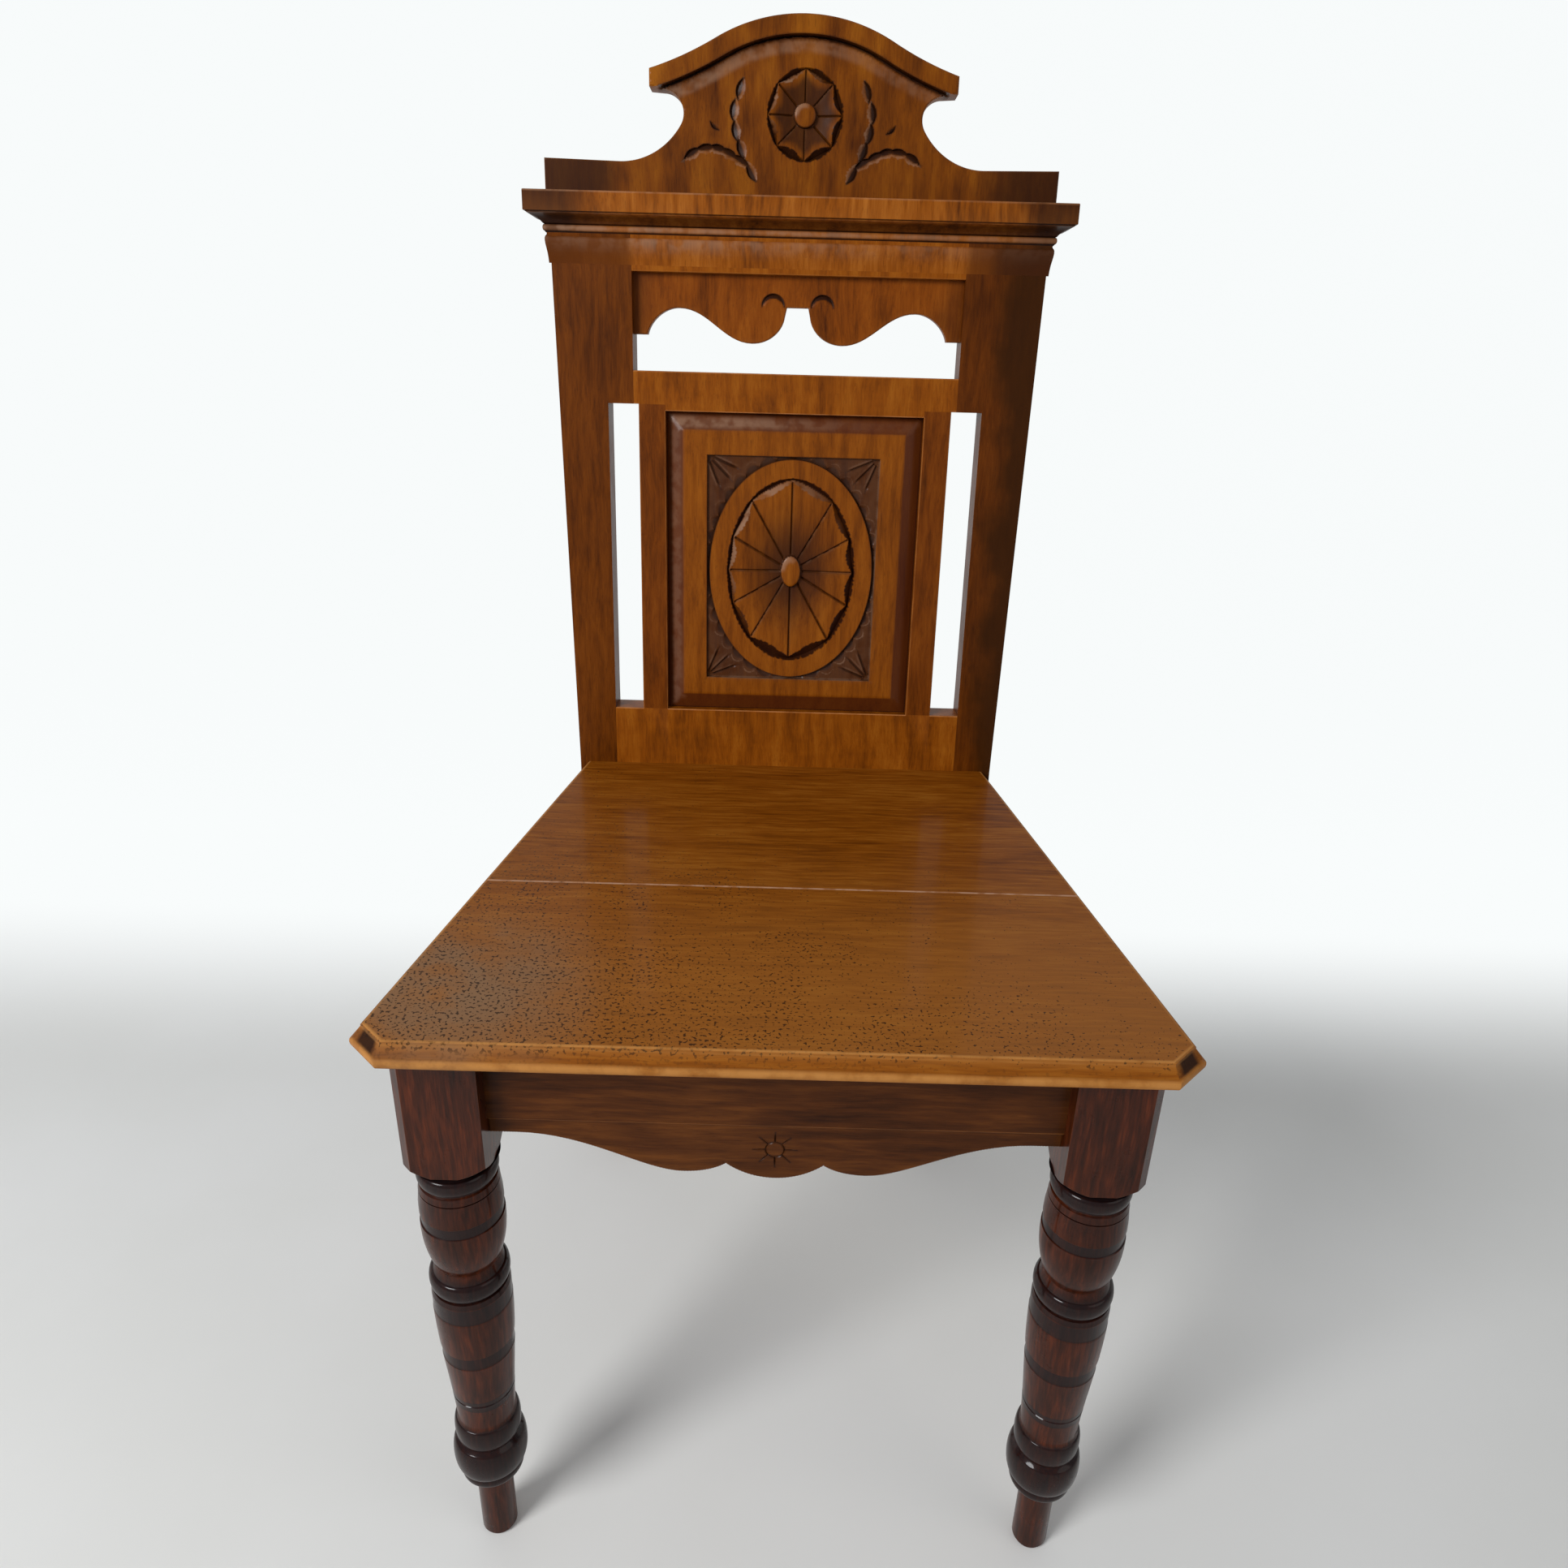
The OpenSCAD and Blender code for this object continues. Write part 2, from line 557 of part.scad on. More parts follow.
// Corner blocks and their screws, made for the right side and mirrored
front_rail_rear_y = front_rail_y + rail_t;
block_z = seat_under_z - block_h;
front_block_outline = [[leg_in_x - block_l, front_rail_rear_y], [leg_in_x, front_rail_rear_y],
    [leg_in_x, leg_rear_y], [side_in_x(leg_rear_y), leg_rear_y],
    [side_in_x(leg_rear_y + block_l), leg_rear_y + block_l]];
rear_block_outline = [[side_in_x(post_face_y - block_l), post_face_y - block_l],
    [side_in_x(post_face_y), post_face_y], [post_in_x, post_face_y],
    [post_in_x, rear_rail_y], [post_in_x - block_l, rear_rail_y]];
screw_gap = 0.1;
head_gap = 0.6;
block_screw_share = 0.45;
seat_screw_share = 0.2;
// Screw whose head sits at the origin and whose shank runs up; with a gap, the hole for it
module screw(bed, gap) {
    head_l = gap > 0 ? block_l : screw_head_h;
    cylinder(r = screw_r + gap, h = bed + screw_grip + gap);
    translate([0, 0, -head_l]) cylinder(r = screw_head_r + (gap > 0 ? head_gap : 0), h = head_l);
}
module block_screw_set(gap) {
    z = block_z + block_h / 2;
    reach = block_l * block_screw_share;
    translate([leg_in_x - reach, front_rail_rear_y + screw_bed, z]) rotate([90, 0, 0]) screw(screw_bed, gap);
    translate([side_in_x(leg_rear_y + reach) - screw_bed, leg_rear_y + reach, z])
        rotate([0, 90, 0]) screw(screw_bed, gap);
    translate([post_in_x - reach, rear_rail_y - screw_bed, z]) rotate([-90, 0, 0]) screw(screw_bed, gap);
    translate([side_in_x(post_face_y - reach) - screw_bed, post_face_y - reach, z])
        rotate([0, 90, 0]) screw(screw_bed, gap);
}
module seat_screw_pair(gap) {
    reach = block_l * seat_screw_share;
    translate([leg_in_x - reach, leg_rear_y + reach, block_z]) screw(block_h, gap);
    translate([post_in_x - reach, post_face_y - reach, block_z]) screw(block_h, gap);
}
module seat_screw_set(gap) { for (i = [0:1]) mirror([i, 0, 0]) seat_screw_pair(gap); }
module corner_block(outline) {
    difference() {
        translate([0, 0, block_z]) linear_extrude(block_h) polygon(outline);
        block_screw_set(screw_gap);
        seat_screw_pair(screw_gap);
    }
}
module front_corner_block_right() { color("#b98d5a") placed() corner_block(front_block_outline); }
module front_corner_block_left() { color("#b98d5a") placed() right_side() corner_block(front_block_outline); }
module rear_corner_block_right() { color("#b98d5a") placed() corner_block(rear_block_outline); }
module rear_corner_block_left() { color("#b98d5a") placed() right_side() corner_block(rear_block_outline); }
module corner_block_screws() {
    color("#9a9a94") placed() for (i = [0:1]) mirror([i, 0, 0]) block_screw_set(0);
}
module seat_screws() { color("#9a9a94") placed() seat_screw_set(0); }

// Back posts: side view with the rake above the seat and the kick of the leg below it
post_kick_shares = [[0, 1], [0, 0.62], [0.55, 0.30], [1, 0]];
function kicked(depth, foot) = [for (s = post_kick_shares)
    [post_face_y + s[0] * post_foot_set + depth + (foot - depth) * (1 - s[1]), s[1] * rail_bottom_z]];
// Hollow swell towards the cornice: distance out and height up the back
function swell_curve(out) = [for (i = [0:curve_steps]) let (t = i / curve_steps)
    [out * t * t, swell_v + swell_h * t]];
post_blend_share = 1.5;
post_blend_v = bottom_rail_h * post_blend_share;
function post_side() = let (front = kicked(0, 0), rear = kicked(post_depth, post_foot_w)) concat(
    [[post_face_y, seat_under_z]],
    bend(front[0], front[1], front[2], front[3]), bend(rear[3], rear[2], rear[1], rear[0]),
    bend([post_face_y + post_depth, seat_under_z], [post_face_y + post_depth, seat_height],
        back_pt(back_t, post_blend_v / 2), back_pt(back_t, post_blend_v)),
    [back_pt(back_t, head_v)],
    [for (i = [curve_steps:-1:0]) back_pt(-swell_curve(swell)[i][0], swell_curve(swell)[i][1])]);
function risen(x, v) = [x, seat_height + v * cos(back_rake)];
post_front = concat([[seat_back_w / 2, 0], [seat_back_w / 2, seat_height]],
    [for (p = swell_curve(side_swell)) risen(back_head_x + p[0], p[1])],
    [risen(back_head_x + side_swell, cornice_v), risen(post_in_x, cornice_v),
     [post_in_x, rail_bottom_z], [seat_back_w / 2 - post_foot_w, 0]]);
module back_post() {
    difference() {
        intersection() {
            across(0, seat_front_w) polygon(post_side());
            union() {
                board(0, rearmost_y + overrun) polygon(post_front);
                tilted() box([opening_x, -cornice_out, slot_head_v], [post_in_x + overrun, 2 * back_t, cornice_v]);
            }
        }
        side_tenon_rear(glue_gap);
        rear_tenon(glue_gap);
        tilted() {
            bottom_tenon(glue_gap);
            middle_tenon(glue_gap);
            top_tenon(glue_gap);
            frieze_space(glue_gap);
            cornice_dowel(glue_gap);
        }
    }
}
module back_post_right() { color("#5c3013") placed() back_post(); }
module back_post_left() { color("#5c3013") placed() right_side() back_post(); }

// Tenons of the back, in its own sloping frame: a gap makes the mortise
tenon_edge = 4;
muntin_tenon_wall = 1.5;
module back_tenon(from_x, to_x, from_v, to_v, gap) {
    box([from_x - overrun, back_tenon_set - gap, from_v - gap],
        [to_x + gap, back_tenon_set + back_tenon_t + gap, to_v + gap]);
}
module bottom_tenon(gap) {
    back_tenon(post_in_x, post_in_x + back_tenon_l, 2 * tenon_edge, bottom_rail_h - 2 * tenon_edge, gap);
}
module middle_tenon(gap) {
    back_tenon(opening_x, opening_x + back_tenon_l, slot_head_v + tenon_edge, middle_rail_v - tenon_edge, gap);
}
module top_tenon(gap) {
    back_tenon(opening_x, opening_x + back_tenon_l, opening_head_v + frieze_tongue_l + tenon_edge,
        head_v - tenon_edge, gap);
}
module muntin_tenon(gap) {
    box([muntin_in_x + groove_l + muntin_tenon_wall - gap, back_tenon_set - gap,
         bottom_rail_h - back_tenon_l - gap],
        [muntin_out_x - muntin_tenon_wall + gap, back_tenon_set + back_tenon_t + gap,
         slot_head_v + back_tenon_l + gap]);
}
module panel_space(gap) {
    box([-muntin_in_x - groove_l, tongue_set - gap, bottom_rail_h - groove_l],
        [muntin_in_x + groove_l, tongue_set + panel_tongue_t + gap, panel_head_v + groove_l]);
}
module back_bottom_rail() {
    color("#8a4f1c") placed() difference() {
        tilted() difference() {
            union() {
                box([-post_in_x, 0, -overrun], [post_in_x, back_t, bottom_rail_h]);
                for (i = [0:1]) mirror([i, 0, 0]) bottom_tenon(0);
            }
            panel_space(glue_gap);
            for (i = [0:1]) mirror([i, 0, 0]) muntin_tenon(glue_gap);
        }
        box([-seat_front_w, 0, 0], [seat_front_w, 2 * seat_depth, seat_height]);
    }
}
middle_rail_side = [[opening_x, middle_rail_v], [opening_x, slot_head_v],
    [muntin_in_x, slot_head_v], [muntin_in_x, panel_head_v]];
module back_middle_rail() {
    color("#8a4f1c") placed() tilted() difference() {
        union() {
            board(0, back_t) polygon(mirrored(middle_rail_side));
            for (i = [0:1]) mirror([i, 0, 0]) middle_tenon(0);
        }
        panel_space(glue_gap);
        for (i = [0:1]) mirror([i, 0, 0]) muntin_tenon(glue_gap);
    }
}
module back_top_rail() {
    side = concat([[back_t, head_v], [back_t, opening_head_v], [0, opening_head_v]],
        [for (p = swell_curve(swell)) [-p[0], p[1]]]);
    color("#8a4f1c") placed() tilted() difference() {
        union() {
            across(-opening_x, opening_x) polygon(side);
            for (i = [0:1]) mirror([i, 0, 0]) top_tenon(0);
        }
        frieze_space(glue_gap);
        crest_dowel_set(glue_gap);
    }
}
module muntin() {
    difference() {
        union() {
            box([muntin_in_x, 0, bottom_rail_h], [muntin_out_x, back_t, slot_head_v]);
            muntin_tenon(0);
        }
        panel_space(glue_gap);
    }
}
module muntin_right() { color("#7d4719") placed() tilted() muntin(); }
module muntin_left() { color("#7d4719") placed() tilted() right_side() muntin(); }

// Carving, cut from the face at depth zero round a middle at the origin
function oval_r(a, b, t) = a * b / sqrt(pow(b * cos(t), 2) + pow(a * sin(t), 2));
// Oval whose edge bows in or out between evenly spaced points, by a share of its size
scallop_steps = 5;
function scalloped(a, b, count, bow_share) = [for (i = [0:count * scallop_steps - 1])
    let (t = 360 * i / (count * scallop_steps),
        r = oval_r(a, b, t) * (1 + bow_share * abs(sin(count * t / 2))))
        [r * cos(t), r * sin(t)]];
module sunk(depth) { board(-overrun, depth) children(); }
// Flower of petals dished towards a button, with a scalloped trench round it
cusp_share = 0.985;
dish_share = 0.74;
hub_share = 0.8;
spoke_w = 2.4;
module flower_cut(a, b, petals, bow_share, button_a, button_b) {
    dish_r = a * dish_share;
    hub_r = button_a * hub_share;
    fall = flower_dish_d / (dish_r - hub_r);
    difference() {
        union() {
            difference() {
                sunk(trench_d) polygon(oval(a, b));
                board(-2 * overrun, trench_d + overrun)
                    polygon(scalloped(a * cusp_share, b * cusp_share, petals, -bow_share));
            }
            rotate([-90, 0, 0]) rotate_extrude() polygon([[0, -overrun], [dish_r, -overrun], [dish_r, 0],
                [hub_r, flower_dish_d], [0, flower_dish_d]]);
            for (i = [0:petals - 1]) let (t = 360 * i / petals) {
                v_cut(0, 0, t, dish_r, spoke_w, petal_cut_d, fall * dish_r, -atan(fall));
                v_cut(0, 0, t, oval_r(a, b, t) * (1 + cusp_share) / 2, spoke_w, petal_cut_d);
            }
        }
        board(-3 * overrun, trench_d + 3 * overrun) polygon(oval(button_a, button_b));
    }
}
// Sunk corner fans outside the oval ring, with rays from a hollow in each corner
fan_gap_share = 1.02;
fan_bow_share = 0.055;
fan_scallops = 40;
fan_rays = 3;
fan_ray_share = 0.42;
fan_hollow_r = 6;
oval_bow_share = 0.14;
module carving_ground() { square([2 * carving_half_w, 2 * carving_half_h], center = true); }
module fan_cut() {
    difference() {
        union() {
            sunk(fan_d) carving_ground();
            sunk(trench_d) intersection() {
                carving_ground();
                union() {
                    polygon(scalloped(ring_half_w * fan_gap_share, ring_half_h * fan_gap_share,
                        fan_scallops, fan_bow_share));
                    for (i = [-1:2:1], j = [-1:2:1])
                        translate([i * carving_half_w, j * carving_half_h]) circle(fan_hollow_r);
                }
            }
            for (i = [0:1], j = [0:1], k = [1:fan_rays]) mirror([i, 0, 0]) mirror([0, 0, j])
                v_cut(carving_half_w, carving_half_h, 180 + 90 * k / (fan_rays + 1),
                    carving_half_w * fan_ray_share, spoke_w, petal_cut_d, fan_d);
        }
        board(-3 * overrun, 3 * trench_d) polygon(oval(ring_half_w, ring_half_h));
    }
}
module back_panel() {
    reach_x = muntin_in_x + groove_l - panel_play;
    low_v = bottom_rail_h - groove_l + panel_play;
    high_v = panel_head_v + groove_l - panel_play;
    rear = tongue_set + panel_tongue_t;
    color("#8f5320") placed() tilted() difference() {
        union() {
            box([-reach_x, tongue_set, low_v], [reach_x, rear, high_v]);
            intersection() {
                across(-muntin_in_x, muntin_in_x) polygon([[rear, bottom_rail_h + panel_play],
                    [tongue_set, bottom_rail_h + panel_play], [field_set, bottom_rail_h + bevel_w],
                    [field_set, panel_head_v - bevel_w], [tongue_set, panel_head_v - panel_play],
                    [rear, panel_head_v - panel_play]]);
                translate([0, 0, low_v]) linear_extrude(high_v - low_v)
                    polygon([[-muntin_in_x + panel_play, rear], [-muntin_in_x + panel_play, tongue_set],
                        [-muntin_in_x + bevel_w, field_set], [muntin_in_x - bevel_w, field_set],
                        [muntin_in_x - panel_play, tongue_set], [muntin_in_x - panel_play, rear]]);
            }
        }
        translate([0, field_set, carving_z]) {
            fan_cut();
            flower_cut(ring_half_w - ring_w, ring_half_h - ring_w, oval_petals, oval_bow_share,
                button_half_w, button_half_h);
        }
    }
}

// Frieze: shares of the half opening and of the board's height, down from the top rail
frieze_end_share = 0.905;
frieze_arch_shares = [[0.915, 0.905], [0.900, 0.708], [0.814, 0.500], [0.721, 0.500]];
frieze_ease_shares = [[0.721, 0.500], [0.542, 0.500], [0.456, 1], [0.277, 1]];
frieze_lobe_shares = [[0.277, 1], [0.163, 1], [0.086, 0.792], [0.077, 0.597]];
frieze_slot_share = [0.065, 0.458];
frieze_slot = [frieze_slot_share[0] * opening_x, opening_head_v - frieze_slot_share[1] * frieze_h];
function frieze_curve(shares) =
    let (p = hung(shares, opening_x, frieze_h, opening_head_v)) bend(p[0], p[1], p[2], p[3]);
frieze_end_v = opening_head_v - frieze_end_share * frieze_h;
frieze_side = concat(
    [[opening_x + frieze_tongue_l, opening_head_v + frieze_tongue_l],
     [opening_x + frieze_tongue_l, frieze_end_v]],
    frieze_curve(frieze_arch_shares), frieze_curve(frieze_ease_shares), frieze_curve(frieze_lobe_shares),
    [frieze_slot]);
scroll_w = 2.4;
scroll_d = 1.6;
module frieze_space(gap) {
    box([-opening_x - frieze_tongue_l - gap, frieze_set - gap, frieze_end_v - gap],
        [opening_x + frieze_tongue_l + gap, frieze_set + frieze_t + gap,
         opening_head_v + frieze_tongue_l + gap]);
}
module frieze_board() {
    color("#7a4316") placed() tilted() difference() {
        board(frieze_set, frieze_set + frieze_t) polygon(mirrored(frieze_side));
        for (i = [0:1]) mirror([i, 0, 0])
            translate([frieze_slot[0] + scroll_w + scroll_r, frieze_set, frieze_slot[1]]) rotate([-90, 0, 0])
                rotate([0, 0, 180]) rotate_extrude(angle = 180) polygon([[scroll_r, scroll_d],
                    [scroll_r - scroll_w / 2, 0], [scroll_r - scroll_w / 2, -overrun],
                    [scroll_r + scroll_w / 2, -overrun], [scroll_r + scroll_w / 2, 0]]);
    }
}

// Cornice: shares of its projection and of its height, from the band down
cornice_step_share = 0.92;
cornice_cove_shares = [[0.88, 0.44], [0.60, 0.40], [0.42, 0.33], [0.27, 0.22]];
cornice_bead_share = [0.20, 0.03, 0.21, 0.08];
cornice_foot_share = 0.18;
cornice_band_v = cornice_h - cornice_band_h;
function cornice_line(out) = concat(
    [[out, cornice_h], [out, cornice_band_v], [out * cornice_step_share, cornice_band_v]],
    let (p = scaled(cornice_cove_shares, out, cornice_h)) bend(p[0], p[1], p[2], p[3]),
    [for (i = [0:curve_steps]) let (s = cornice_bead_share, t = 180 * i / curve_steps)
        [out * (s[2] + s[3] * sin(t)), cornice_h * (s[0] + (s[1] - s[0]) * (1 - cos(t)) / 2)]],
    [[out * cornice_foot_share, 0]]);
cornice_side_out = cornice_w / 2 - back_head_x;
module cornice() {
    color("#87501f") placed() tilted() difference() {
        translate([0, 0, head_v]) intersection() {
            across(-cornice_w / 2, cornice_w / 2) polygon(concat([[back_t, 0], [back_t, cornice_h]],
                [for (p = cornice_line(cornice_out)) [-p[0], p[1]]]));
            board(-cornice_out, back_t)
                polygon(mirrored([for (p = cornice_line(cornice_side_out)) [back_head_x + p[0], p[1]]]));
        }
        crest_dowel_set(glue_gap);
        for (i = [0:1]) mirror([i, 0, 0]) cornice_dowel(glue_gap);
    }
}
module cornice_dowel(gap) {
    translate([(opening_x + back_head_x) / 2, back_t / 2, head_v - dowel_l - gap])
        cylinder(d = dowel_d + 2 * gap, h = 2 * (dowel_l + gap));
}
module crest_dowel_set(gap) {
    for (i = [-1:1]) translate([i * crest_dowel_x, crest_face + crest_t / 2, head_v - dowel_l - gap])
        cylinder(d = dowel_d + 2 * gap, h = cornice_h + 2 * (dowel_l + gap));
}
module cornice_dowels() {
    color("#c9a36a") placed() tilted() for (i = [0:1]) mirror([i, 0, 0]) cornice_dowel(0);
}
module crest_dowels() { color("#c9a36a") placed() tilted() crest_dowel_set(0); }

// Crest: outline above the cornice, from its foot in to the neck and out again under the hood
sweep_join = 33;
neck_middle = [crest_neck_w / 2 + crest_neck_r, crest_neck_z];
sweep_middle = neck_middle + (crest_sweep_r - crest_neck_r) * [cos(sweep_join), sin(sweep_join)];
arch_middle = [0, crest_h - arch_r];
arch_join = asin(arch_half_w / arch_r);
turn_middle = arch_middle + (arch_r + arch_turn_r) * [sin(arch_join), cos(arch_join)];
// Line of the hood's moulding, a distance in from its top, from the tip to the middle
function hood_line(drop) = let (r = arch_turn_r + drop) concat(
    arc(turn_middle, r, 270 - asin((turn_middle[0] - hood_w / 2) / r), 270 - arch_join),
    arc(arch_middle, arch_r - drop, 90 - arch_join, 90));
hood_tip = hood_line(0)[0];
crest_side = concat([[crest_foot_w / 2, 0], [crest_foot_w / 2, crest_end_h]],
    arc(sweep_middle, crest_sweep_r, 270, 180 + sweep_join),
    arc(neck_middle, crest_neck_r, 180 + sweep_join, 90), [hood_tip - [0, hood_tip_t]], hood_line(0));
// Chains of gouge cuts beside the flower: shares of the hood's half width and crest's height, and turn
chain_shares = [[0.410, 0.608, 105], [0.450, 0.494, 95], [0.437, 0.382, 80], [0.400, 0.283, 70],
    [0.332, 0.156, 62], [0.726, 0.247, 149], [0.638, 0.277, 173], [0.555, 0.275, 193],
    [0.485, 0.251, 205], [0.407, 0.212, 210]];
dot_shares = [0.580, 0.405, 40];
dot_size_share = 0.6;
gouge_lift_share = 0.2;
rosette_bow_share = 0.2;
module hood_moulding() {
    intersection() {
        board(0, crest_face + crest_t) polygon(mirrored(crest_side));
        board(-overrun, crest_face + crest_t + overrun)
            polygon(concat(mirrored(hood_line(-overrun)), [for (p = mirrored(hood_line(hood_t))) [-p[0], p[1]]]));
    }
}
module crest_board() {
    color("#80481a") placed() tilted() difference() {
        translate([0, 0, cornice_v]) difference() {
            union() {
                board(crest_face, crest_face + crest_t) polygon(mirrored(crest_side));
                hood_moulding();
            }
            translate([0, crest_face, rosette_z])
                flower_cut(rosette_half_w, rosette_half_h, rosette_petals, rosette_bow_share,
                    rosette_button_r, rosette_button_r);
            translate([0, crest_face - gouge_w * gouge_lift_share, 0]) for (i = [0:1]) mirror([i, 0, 0]) {
                for (s = chain_shares) gouge(s[0] * hood_w / 2, s[1] * crest_h, s[2]);
                translate([dot_shares[0] * hood_w / 2, 0, dot_shares[1] * crest_h])
                    scale(dot_size_share) gouge(0, 0, dot_shares[2]);
            }
        }
        crest_dowel_set(glue_gap);
    }
}

front_leg_left();
front_leg_right();
back_post_left();
back_post_right();
front_rail();
front_apron();
side_rail_left();
side_rail_right();
rear_seat_rail();
front_corner_block_left();
front_corner_block_right();
rear_corner_block_left();
rear_corner_block_right();
corner_block_screws();
seat_screws();
seat_front_board();
seat_rear_board();
seat_dowels();
back_bottom_rail();
back_middle_rail();
back_top_rail();
muntin_left();
muntin_right();
back_panel();
frieze_board();
cornice();
cornice_dowels();
crest_board();
crest_dowels();
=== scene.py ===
from math import asin, atan2, cos, hypot, pi, radians, sin

import bmesh
import bpy
import numpy as np
from mathutils import Matrix, Vector
from mathutils.bvhtree import BVHTree
from mathutils.geometry import delaunay_2d_cdt
from mathutils.kdtree import KDTree


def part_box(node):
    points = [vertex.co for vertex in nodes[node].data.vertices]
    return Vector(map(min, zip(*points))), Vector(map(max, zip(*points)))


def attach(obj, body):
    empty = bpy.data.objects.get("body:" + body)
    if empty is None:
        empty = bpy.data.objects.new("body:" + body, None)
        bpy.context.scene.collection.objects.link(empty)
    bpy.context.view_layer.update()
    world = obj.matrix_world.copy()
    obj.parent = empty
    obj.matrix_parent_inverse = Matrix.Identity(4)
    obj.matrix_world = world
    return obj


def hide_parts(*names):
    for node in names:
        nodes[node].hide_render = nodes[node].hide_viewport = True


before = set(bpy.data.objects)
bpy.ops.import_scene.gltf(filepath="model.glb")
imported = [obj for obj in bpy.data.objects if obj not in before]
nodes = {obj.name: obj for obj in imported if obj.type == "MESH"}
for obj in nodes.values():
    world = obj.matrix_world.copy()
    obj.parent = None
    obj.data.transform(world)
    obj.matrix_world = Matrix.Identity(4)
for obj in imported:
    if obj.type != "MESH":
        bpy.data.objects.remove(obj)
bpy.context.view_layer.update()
mm = 0.001

# The back leans, so its pieces are made flat in their own axes and then placed:
# across, depth behind the frame's face, and height up the slope from the seat
rake = 4.7
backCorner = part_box("back_bottom_rail")[0]
backPlace = (Matrix.Translation((0, backCorner.y, backCorner.z))
             @ Matrix.Rotation(-radians(rake), 4, "X") @ Matrix.Scale(mm, 4))


def backBox(node):
    turned = backPlace.inverted()
    points = np.array([turned @ v.co for v in nodes[node].data.vertices])
    return points.min(0), points.max(0)


# Lines in a plane

def bend(a, b, c, d, steps=16):
    a, b, c, d = (np.array(p, float) for p in (a, b, c, d))
    return [tuple((1 - t) ** 3 * a + 3 * (1 - t) ** 2 * t * b + 3 * (1 - t) * t * t * c + t ** 3 * d)
            for t in np.linspace(0, 1, steps + 1)]


def arcLine(centre, radius, start, end, steps=24):
    return [(centre[0] + radius * cos(radians(a)), centre[1] + radius * sin(radians(a)))
            for a in np.linspace(start, end, steps + 1)]


def mirrored(side):
    return list(side) + [(-x, y) for x, y in reversed(side)]


def mirroredOpen(side):
    return [(-x, y) for x, y in side] + list(reversed(side))


def stepped(line, step, closed=True):
    sameSpot = 0.02
    out = []
    ends = line[1:] + line[:1] if closed else line[1:]
    for p, q in zip(line, ends):
        count = max(1, round(hypot(q[0] - p[0], q[1] - p[1]) / step))
        out += [(p[0] + (q[0] - p[0]) * i / count, p[1] + (q[1] - p[1]) * i / count) for i in range(count)]
    if not closed:
        out.append(line[-1])
    kept = [out[0]]
    for p in out[1:]:
        if hypot(p[0] - kept[-1][0], p[1] - kept[-1][1]) > sameSpot:
            kept.append(p)
    if closed and hypot(kept[0][0] - kept[-1][0], kept[0][1] - kept[-1][1]) < sameSpot:
        kept.pop()
    return kept


def unit(values):
    return np.clip(values, 0, 1)


def ease(t):
    t = unit(t)
    return t * t * (3 - 2 * t)


def around(points, middle):
    x, z = (points - np.array(middle)).T
    return x, z, np.arctan2(z, x), np.hypot(x, z)


def lineDistance(points, line):
    a = np.array(line)
    best = np.full(len(points), 1e9)
    for p, q in zip(a, np.roll(a, -1, 0)):
        run = q - p
        t = unit((points - p) @ run / max(run @ run, 1e-12))
        best = np.minimum(best, np.linalg.norm(points - p - t[:, None] * run, axis=1))
    return best


def closedPairs(line):
    return zip(line, line[1:] + line[:1])


def insideLine(points, line):
    x, y = np.array(points).T
    inside = np.zeros(len(x), bool)
    for (px, py), (qx, qy) in closedPairs(line):
        if py != qy:
            inside ^= ((py > y) != (qy > y)) & (x < (qx - px) * (y - py) / (qy - py) + px)
    return inside


# How deep a rubbed arris lies under the face: a quarter round that ends at the outline
def arrisDepth(points, outline, arris):
    toEdge = unit(lineDistance(points, outline) / arris)
    return arris * (1 - np.sqrt(1 - (1 - toEdge) ** 2))


def runsWhere(line, keep, closed=False):
    if closed and not all(keep):
        start = list(keep).index(False)
        line = line[start:] + line[:start]
        keep = list(keep[start:]) + list(keep[:start])
    elif closed:
        return [line + line[:1]]
    runs, run = [], []
    for p, ok in zip(line, keep):
        if ok:
            run.append(p)
        elif run:
            runs.append(run)
            run = []
    if run:
        runs.append(run)
    return [r for r in runs if len(r) > 1]


# Node trees

def addNode(tree, kind, inputs=None, **settings):
    node = tree.nodes.new(kind)
    for key, value in settings.items():
        setattr(node, key, value)
    for key, value in (inputs or {}).items():
        if isinstance(value, bpy.types.NodeSocket):
            tree.links.new(value, node.inputs[key])
        else:
            node.inputs[key].default_value = value
    return node


def newGroup(name, kind, inputs, outputs):
    group = bpy.data.node_groups.new(name, kind)
    sockets = {"color": "NodeSocketColor", "number": "NodeSocketFloat", "vector": "NodeSocketVector",
               "shape": "NodeSocketGeometry", "material": "NodeSocketMaterial", "count": "NodeSocketInt"}
    for label, sort, value in inputs:
        socket = group.interface.new_socket(label, in_out="INPUT", socket_type=sockets[sort])
        if value is not None:
            socket.default_value = value
    for label, sort in outputs:
        group.interface.new_socket(label, in_out="OUTPUT", socket_type=sockets[sort])
    return group, group.nodes.new("NodeGroupInput"), group.nodes.new("NodeGroupOutput")


def maths(tree, operation, a, b=0.0, clamp=False):
    return addNode(tree, "ShaderNodeMath", {0: a, 1: b}, operation=operation, use_clamp=clamp).outputs[0]


def times(tree, value, *factors, clamp=False):
    for factor in factors[:-1]:
        value = maths(tree, "MULTIPLY", value, factor)
    return maths(tree, "MULTIPLY", value, factors[-1], clamp)


# A noise's swing to both sides of its middle value
def swing(tree, value, amount):
    return times(tree, maths(tree, "SUBTRACT", value, 0.5), amount)


def noise(tree, vector, scale, detail, roughness=0.5):
    return addNode(tree, "ShaderNodeTexNoise", {"Vector": vector, "Scale": scale, "Detail": detail,
                                                "Roughness": roughness}).outputs


def inMillimetres(tree, vector):
    return addNode(tree, "ShaderNodeVectorMath", {0: vector, 3: 1 / mm}, operation="SCALE").outputs[0]


